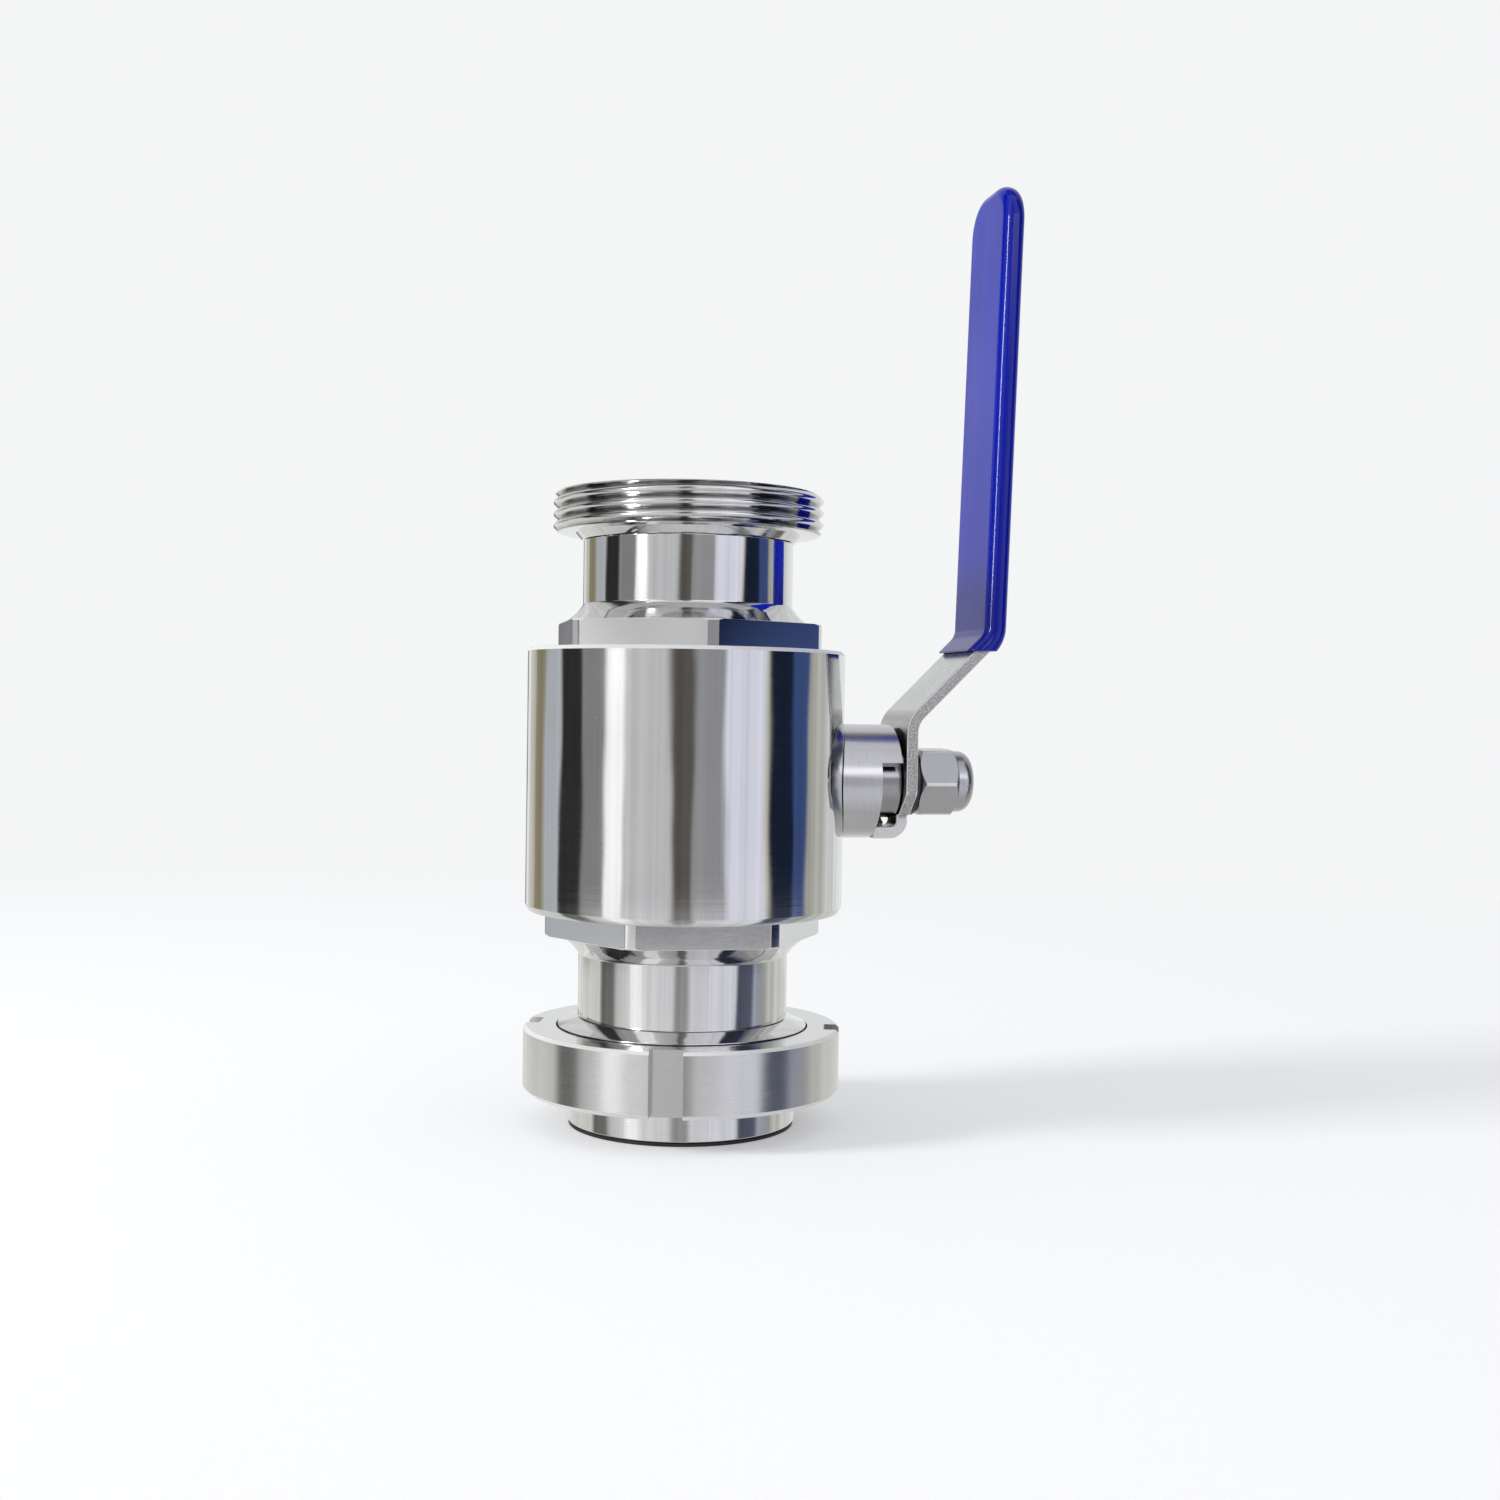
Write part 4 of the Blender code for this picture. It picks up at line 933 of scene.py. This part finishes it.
def lever_plate():
    half = 18.0
    top = bar_distance(GRIP_TOP - 2.3)
    foot = bar_distance(-4.2)
    root = bar_distance(-13.1)
    side = [
        (5.2, 0), (5.8, 0.6), (5.8, root - 1.0), (6.1, root - 0.3), (6.9, root), (8.6, root + 0.1),
        (9.4, root + 0.6), (half - 1.4, foot - 1.3), (half - 0.7, foot - 0.5), (half - 0.2, foot + 0.3),
        (half, foot + 1.3), *rounded_tip(half, top, 12.8),
    ]
    plate = flat_bar("lever_plate", side, LEVER_T, 0.75, 4)
    hole = prism("lever_hole", STEM_HOLE_R, 70, 95, STEM_STEPS)
    work(hole, block("hole_flats", (-20, -6.3, 60), (20, 6.3, 99)), "INTERSECT")
    work(plate, on_stem_axis(hole))
    finish(plate, "lever_assembly", rolled, 32)
    dress_faces(plate, blasted, lambda face: rim_share(face) < 0.2)
    # The rounded rims between the flats and the sheared edge carry a painted highlight.
    return dress_faces(plate, edge_highlight, lambda face: 0.2 <= rim_share(face) < 0.96)


def dipped_grip():
    """The coat: a fatter bar with round sides, cut level at its foot and hollowed for the plate."""
    top = bar_distance(GRIP_TOP)
    low = bar_distance(36)
    half, thickness, rim = 20.1, 8.3, 3.9
    grip = flat_bar("grip_sleeve", [(half, low), *rounded_tip(half, top, 14.5)], thickness, rim, 8)
    only(grip)
    edit()
    bpy.ops.mesh.select_all(action="SELECT")
    foot = STEM_Z + GRIP_FOOT * MM
    bpy.ops.mesh.bisect(plane_co=(FLOW_X, 0, foot), plane_no=(0, 0, 1), use_fill=True, clear_inner=True)
    shape = bmesh.from_edit_mesh(grip.data)
    for edge in shape.edges:
        edge.select = all(abs(vertex.co.z - foot) < 1e-6 for vertex in edge.verts)
    bmesh.update_edit_mesh(grip.data)
    bpy.ops.mesh.bevel(offset=0.9 * MM, segments=4, affect="EDGES")
    face_out()
    leave()
    inside = bar_distance(GRIP_TOP - 2.0)
    hollow_low = bar_distance(30)
    hollow_half = half - 1.9
    hollow_side = [(hollow_half, hollow_low), *rounded_tip(hollow_half, inside, 13.0)]
    work(grip, flat_bar("grip_hollow", hollow_side, LEVER_T + 0.4, 0.6, 2))
    return finish(grip, "lever_assembly", vinyl, 40)


lever_plate()
dipped_grip()


# Lock washer and lock nut

lock_washer = turn("lock_washer", [(12.6, 85.7), (12.6, 83.3), (8.9, 83.3), (8.9, 85.7)], STEM_STEPS)
work(lock_washer, block("washer_split", (4, -0.8, 78), (20, 0.8, 95)))
break_edges(lock_washer, 0.3)
# The lock washer takes near-black steel: painted shade.
finish(on_stem_axis(lock_washer), "lever_assembly", washer_shade_steel)


def lever_nut():
    foot, hex_top, end = 86.0, 101.2, 108.0
    across_flats, dome_r, dome_round = 24, 11.4, 4.4
    nut = turn("lever_nut", [
        (11.6, hex_top), (14.2, hex_top - 2.1), (14.2, foot + 2.2), (11.5, foot),
    ], STEM_STEPS, True)
    hexagon = prism("nut_hexagon", across_flats / math.sqrt(3), 80, 102, 6, math.radians(3), 0.7)
    work(nut, hexagon, "INTERSECT")
    break_edges(nut, 0.16, 24)
    dome = [*reversed(rounded_tip(dome_r, end, dome_round, 10))]
    work(nut, turn("nut_collar", [*dome, (dome_r, hex_top - 1)], STEM_STEPS, True), "UNION")
    bore = turn("nut_bore", [
        (STEM_HOLE_R, 112), (STEM_HOLE_R, 105.8), (9.9, 105.8), (9.9, 101.8), (STEM_HOLE_R, 101.8),
        (STEM_HOLE_R, 80),
    ], STEM_STEPS, True)
    work(nut, bore)
    clean(nut)
    finish(on_stem_axis(nut), "lever_assembly", nut_steel)

    def on_corner(face):
        return from_stem_axis(face) > 12.6 and abs(face.normal.x) < 0.2 and face.area < 1.2e-5

    # The hexagon's small corner faces carry a painted highlight.
    return dress_faces(nut, edge_highlight, on_corner)


lever_nut()
stem_ring("nut_insert", STEM_HOLE_R, 9.6, 102.1, 105.5, "lever_assembly", nylon, 0.2)


# Camera at the photograph's place

AIM_AZ = math.radians(-12.5)
back = Vector((math.sin(AIM_AZ), -math.cos(AIM_AZ), 0))
right = Vector((math.cos(AIM_AZ), math.sin(AIM_AZ), 0))
camera = bpy.data.objects.new("camera", bpy.data.cameras.new("camera"))
camera.data.lens = 43.5
camera.data.sensor_width = 36
CAMERA_HEIGHT, CAMERA_DISTANCE, CAMERA_ASIDE = 0.1505, 0.6605, 0.0234
LOOK_DOWN, LOOK_ASIDE = math.radians(1.26), math.radians(0.86)
place = Vector((FLOW_X, 0, CAMERA_HEIGHT)) + back * CAMERA_DISTANCE + right * CAMERA_ASIDE
tilt = Matrix.Rotation(math.pi / 2 - LOOK_DOWN, 4, "X") @ Matrix.Rotation(LOOK_ASIDE, 4, "Z")
camera.matrix_world = Matrix.Translation(place) @ Matrix.Rotation(AIM_AZ, 4, "Z") @ tilt
bpy.context.scene.collection.objects.link(camera)
bpy.context.scene.camera = camera


# Floor, studio surroundings and lamp

def around(azimuth, distance, height=0.0):
    """A point round the valve; azimuth 0 is towards the camera and grows to the picture's right."""
    a = math.radians(azimuth)
    way = back * math.cos(a) + right * math.sin(a)
    return Vector((FLOW_X, 0, height)) + way * distance


# What polished steel mirrors round the room: one even tone to each screen, softbox or dark gap
PALE = (0.86, 0.87, 0.88)
SEAM = (0.22, 0.22, 0.23)
KHAKI = (0.56, 0.54, 0.46)
BROWN = (0.29, 0.26, 0.17)
SLATE = (0.47, 0.49, 0.52)
BLACK = (0.03, 0.03, 0.03)
GREY = (0.26, 0.26, 0.26)
WINDOW = (1.17, 1.17, 1.17)
SILVER = (0.60, 0.60, 0.61)
SHADE = (0.11, 0.10, 0.09)
DIM = (0.33, 0.33, 0.34)
LAVENDER = (0.80, 0.80, 0.92)
NAVY = (0.01, 0.016, 0.035)
BLUE = (0.048, 0.08, 0.22)
CREAM = (0.46, 0.46, 0.41)
WALLS = [
    (-180, PALE), (-167, PALE), (-165, SEAM), (-161, SEAM), (-158, PALE), (-138, KHAKI), (-133, BROWN),
    (-122, BROWN), (-115, SLATE), (-101, SLATE), (-97, BLACK), (-78, BLACK), (-74, GREY), (-58, GREY),
    (-54, WINDOW), (-44, WINDOW), (-39, SILVER), (-11, SILVER), (-6, SHADE), (5, SHADE), (10, DIM),
    (28, DIM), (33, LAVENDER), (60, LAVENDER), (63, KHAKI), (67, NAVY), (82, NAVY), (86, BLUE), (97, BLUE),
    (103, CREAM), (152, PALE), (180, PALE),
]
# The same below the horizon, where the pale floor washes the bands out
GROUND = [
    (-180, grey(0.82, 0.81)), (-120, grey(0.74, 0.71)), (-100, grey(0.66, 0.64)), (-94, grey(0.16, 0.155)),
    (-80, grey(0.18, 0.17)), (-70, grey(0.66, 0.65)), (-58, grey(0.76)), (-53, grey(1.1)), (-43, grey(1.1)),
    (-37, grey(0.78, 0.79)), (-12, grey(0.74, 0.75)), (-5, grey(0.34)), (5, grey(0.32)),
    (12, grey(0.70, 0.71)), (34, grey(0.76, 0.82)), (60, (0.74, 0.75, 0.82)), (65, (0.09, 0.10, 0.14)),
    (80, (0.10, 0.11, 0.16)), (88, (0.40, 0.42, 0.50)), (98, (0.36, 0.37, 0.38)), (108, grey(0.56, 0.52)),
    (140, grey(0.72, 0.70)), (180, grey(0.82, 0.81)),
]


def hung_screens(flag, side, box, gap, front):
    """A ring of soft screens: dark flags at both sides, a softbox at the left and a front of its own."""
    return [
        (-180, grey(0.80, 0.81)), (-128, grey(0.60, 0.58)), (-115, flag), (-92, flag), (-86, side),
        (-62, grey(0.46)), (-56, box), (-38, box), (-30, grey(0.62, 0.63)), (-7, grey(0.50, 0.51)),
        (-3, gap), *front, (84, (0.03, 0.035, 0.06)), (90, (0.12, 0.14, 0.22)), (100, grey(0.34, 0.35)),
        (130, grey(0.60, 0.58)), (180, grey(0.80, 0.81)),
    ]


LOW_GAP = (0.14, 0.13, 0.12)
FRONT_BOX = hung_screens(grey(0.03), grey(0.30), grey(1.4), LOW_GAP, [
    (2, LOW_GAP), (7, grey(1.7)), (56, grey(1.6, 1.75)), (61, grey(0.03, 0.05)),
])
HIGH_GAP = (0.18, 0.17, 0.16)
HIGH = hung_screens(grey(0.04), grey(0.36), grey(1.1), HIGH_GAP, [
    (4, HIGH_GAP), (9, grey(0.74, 0.76)), (28, grey(0.82, 0.87)), (58, grey(0.80, 0.88)),
    (63, grey(0.03, 0.05)),
])
# Over the screens the rig itself, dark towards the back
RIG = [
    (-180, grey(0.14, 0.15)), (-112, grey(0.16, 0.17)), (-96, grey(0.44, 0.45)), (-60, grey(0.72, 0.74)),
    (0, grey(0.78, 0.80)), (88, grey(0.78, 0.82)), (98, grey(0.36, 0.38)), (112, grey(0.12, 0.13)),
    (180, grey(0.14, 0.15)),
]
# The lamp that draws the white streak down the grip, and the elevations it hangs between
STRIP_FOOT, STRIP_TOP = 4.5, 19
UNLIT, STRIP = grey(0), grey(22, 23)
LAMP_STRIP = [(-180, UNLIT), (-53, UNLIT), (-51, STRIP), (-46, STRIP), (-44, UNLIT), (180, UNLIT)]


def ring_of(nodes, links, share, stops):
    """A colour ramp all round the studio, from azimuth -180 to 180."""
    ramp = put(nodes, "ValToRGB")
    ramp.color_ramp.interpolation = "EASE"
    elements = ramp.color_ramp.elements
    while len(elements) < len(stops):
        elements.new(0.5)
    for element, (azimuth, _) in zip(elements, stops):
        element.position = azimuth / 360 + 0.5
    for element, (_, colour) in zip(elements, stops):
        element.color = (*colour, 1)
    links.new(share, ramp.inputs[0])
    return ramp.outputs[0]


BACKDROP = (0.91, 0.915, 0.92, 1)
ROOM_LIGHT = (0.97, 0.98, 1.0, 1)


def mirrored_room(nodes, links):
    """The banded studio by azimuth and elevation, gently warped, with fine upright streaks."""
    way = put(nodes, "TexCoord")
    turned = put(nodes, "Mapping", Rotation=(0, 0, -math.atan2(back.y, back.x)))
    links.new(way.outputs["Generated"], turned.inputs["Vector"])
    split = put(nodes, "SeparateXYZ")
    links.new(turned.outputs["Vector"], split.inputs[0])
    azimuth = reckon(nodes, links, "ARCTAN2", split.outputs["Y"], split.outputs["X"])
    warp_place = put(nodes, "Mapping", Scale=(2.6, 2.6, 10))
    links.new(turned.outputs["Vector"], warp_place.inputs["Vector"])
    warp = spread(nodes, links, noise(nodes, links, warp_place.outputs["Vector"], 1.0, 1), -0.045, 0.045)
    warped = reckon(nodes, links, "ADD", azimuth, warp)
    share = spread(nodes, links, warped, 0.0, 1.0, -math.pi, math.pi)

    def rise(low, high):
        low, high = (math.sin(math.radians(angle)) for angle in (low, high))
        return spread(nodes, links, split.outputs["Z"], 0.0, 1.0, low, high)

    whole = ring_of(nodes, links, share, GROUND)
    for stops, low, high in ((WALLS, -8.6, -7.2), (FRONT_BOX, 11, 15), (HIGH, 24, 30), (RIG, 58, 64)):
        whole = blend_by(nodes, links, rise(low, high), whole, ring_of(nodes, links, share, stops))
    underfoot = even_tone(nodes, grey(0.56, 0.55))
    whole = blend_by(nodes, links, rise(-62, -30), underfoot, whole)
    streaks = put(nodes, "TexNoise", noise_dimensions="1D", Scale=7.0, Detail=7.0, Roughness=0.7)
    links.new(azimuth, streaks.inputs["W"])
    streaked = put(nodes, "Mix", data_type="RGBA", blend_type="MULTIPLY")
    streaked.inputs[0].default_value = 1.0
    shade = tones(nodes, links, streaks.outputs["Fac"], grey(0.80, 0.81), grey(1.12, 1.11))
    links.new(whole, streaked.inputs[6])
    links.new(shade, streaked.inputs[7])
    lit = put(nodes, "Mix", data_type="RGBA", blend_type="ADD")
    reach = reckon(nodes, links, "SUBTRACT", rise(STRIP_FOOT, STRIP_FOOT + 2), rise(STRIP_TOP, STRIP_TOP + 5))
    links.new(reach, lit.inputs[0])
    links.new(streaked.outputs[2], lit.inputs[6])
    links.new(ring_of(nodes, links, share, LAMP_STRIP), lit.inputs[7])
    return lit.outputs[2]


def studio():
    """The room: plain light for matt pieces, banded screens for mirrors, pale to the camera."""
    world = bpy.data.worlds.new("soft_studio")
    bpy.context.scene.world = world
    world.use_nodes = True
    nodes = world.node_tree.nodes
    links = world.node_tree.links
    mirrored = put(nodes, "Background")
    links.new(mirrored_room(nodes, links), mirrored.inputs["Color"])
    room = nodes["Background"]
    room.inputs["Color"].default_value = ROOM_LIGHT
    room.inputs["Strength"].default_value = 0.62
    seen = put(nodes, "Background", Color=BACKDROP)
    path = put(nodes, "LightPath")
    lighting = mix_shaders(nodes, links, path.outputs["Is Glossy Ray"], room, mirrored)
    camera_ray, through = path.outputs["Is Camera Ray"], path.outputs["Is Transmission Ray"]
    straight = reckon(nodes, links, "MAXIMUM", camera_ray, through)
    final = mix_shaders(nodes, links, straight, lighting, seen)
    links.new(final.outputs[0], nodes["World Output"].inputs[0])
    world.cycles.sampling_method = "NONE"


def mix_shaders(nodes, links, share, first, second):
    mix = put(nodes, "MixShader")
    links.new(share, mix.inputs[0])
    links.new(first.outputs[0], mix.inputs[1])
    links.new(second.outputs[0], mix.inputs[2])
    return mix


studio()


def pale_floor():
    """A pale floor that keeps the shadow near the valve and runs out into the backdrop's colour."""
    bpy.ops.object.select_all(action="DESELECT")
    bpy.ops.mesh.primitive_plane_add(size=40, location=(0, 0, 0))
    floor = bpy.context.object
    floor.name = "pale_floor"
    paint, nodes, links, shader = start_finish("pale_floor", grey(0.86, 0.865), 0.0, 0.7)
    speckle = noise(nodes, links, object_place(nodes, links), 300, 4)
    colour_by(nodes, links, shader, speckle, grey(0.85, 0.855), grey(0.87, 0.875))
    adjust(paint, Specular_IOR_Level=0.0)
    lift = put(nodes, "Emission", Color=ROOM_LIGHT, Strength=0.26)
    lifted = put(nodes, "AddShader")
    links.new(shader.outputs[0], lifted.inputs[0])
    links.new(lift.outputs[0], lifted.inputs[1])
    backdrop = put(nodes, "Emission", Color=BACKDROP)
    far = put(nodes, "VectorMath", operation="LENGTH")
    links.new(object_place(nodes, links, (FLOW_X, 0, 0)), far.inputs[0])
    fade = spread(nodes, links, far.outputs["Value"], 0.0, 1.0, 0.25, 1.1)
    seen = mix_shaders(nodes, links, fade, lifted, backdrop)
    path = put(nodes, "LightPath")
    either = mix_shaders(nodes, links, path.outputs["Is Camera Ray"], shader, seen)
    links.new(either.outputs[0], nodes["Material Output"].inputs[0])
    floor.data.materials.append(paint)
    floor.visible_glossy = False


pale_floor()


def lamp(name, azimuth, distance, height, size, power, aim=0.1):
    """A soft lamp round the valve that shines at it; polished metal doesn't mirror it."""
    data = bpy.data.lights.new(name, "AREA")
    data.energy = power
    data.size = size
    light = bpy.data.objects.new(name, data)
    light.location = around(azimuth, distance, height)
    target = Vector((FLOW_X, 0, aim))
    light.rotation_euler = (target - light.location).to_track_quat("-Z", "Y").to_euler()
    light.visible_glossy = False
    bpy.context.scene.collection.objects.link(light)


lamp("key_lamp", azimuth=-71, distance=3.0, height=1.45, size=0.8, power=60)
bpy.context.scene.view_settings.view_transform = "Standard"
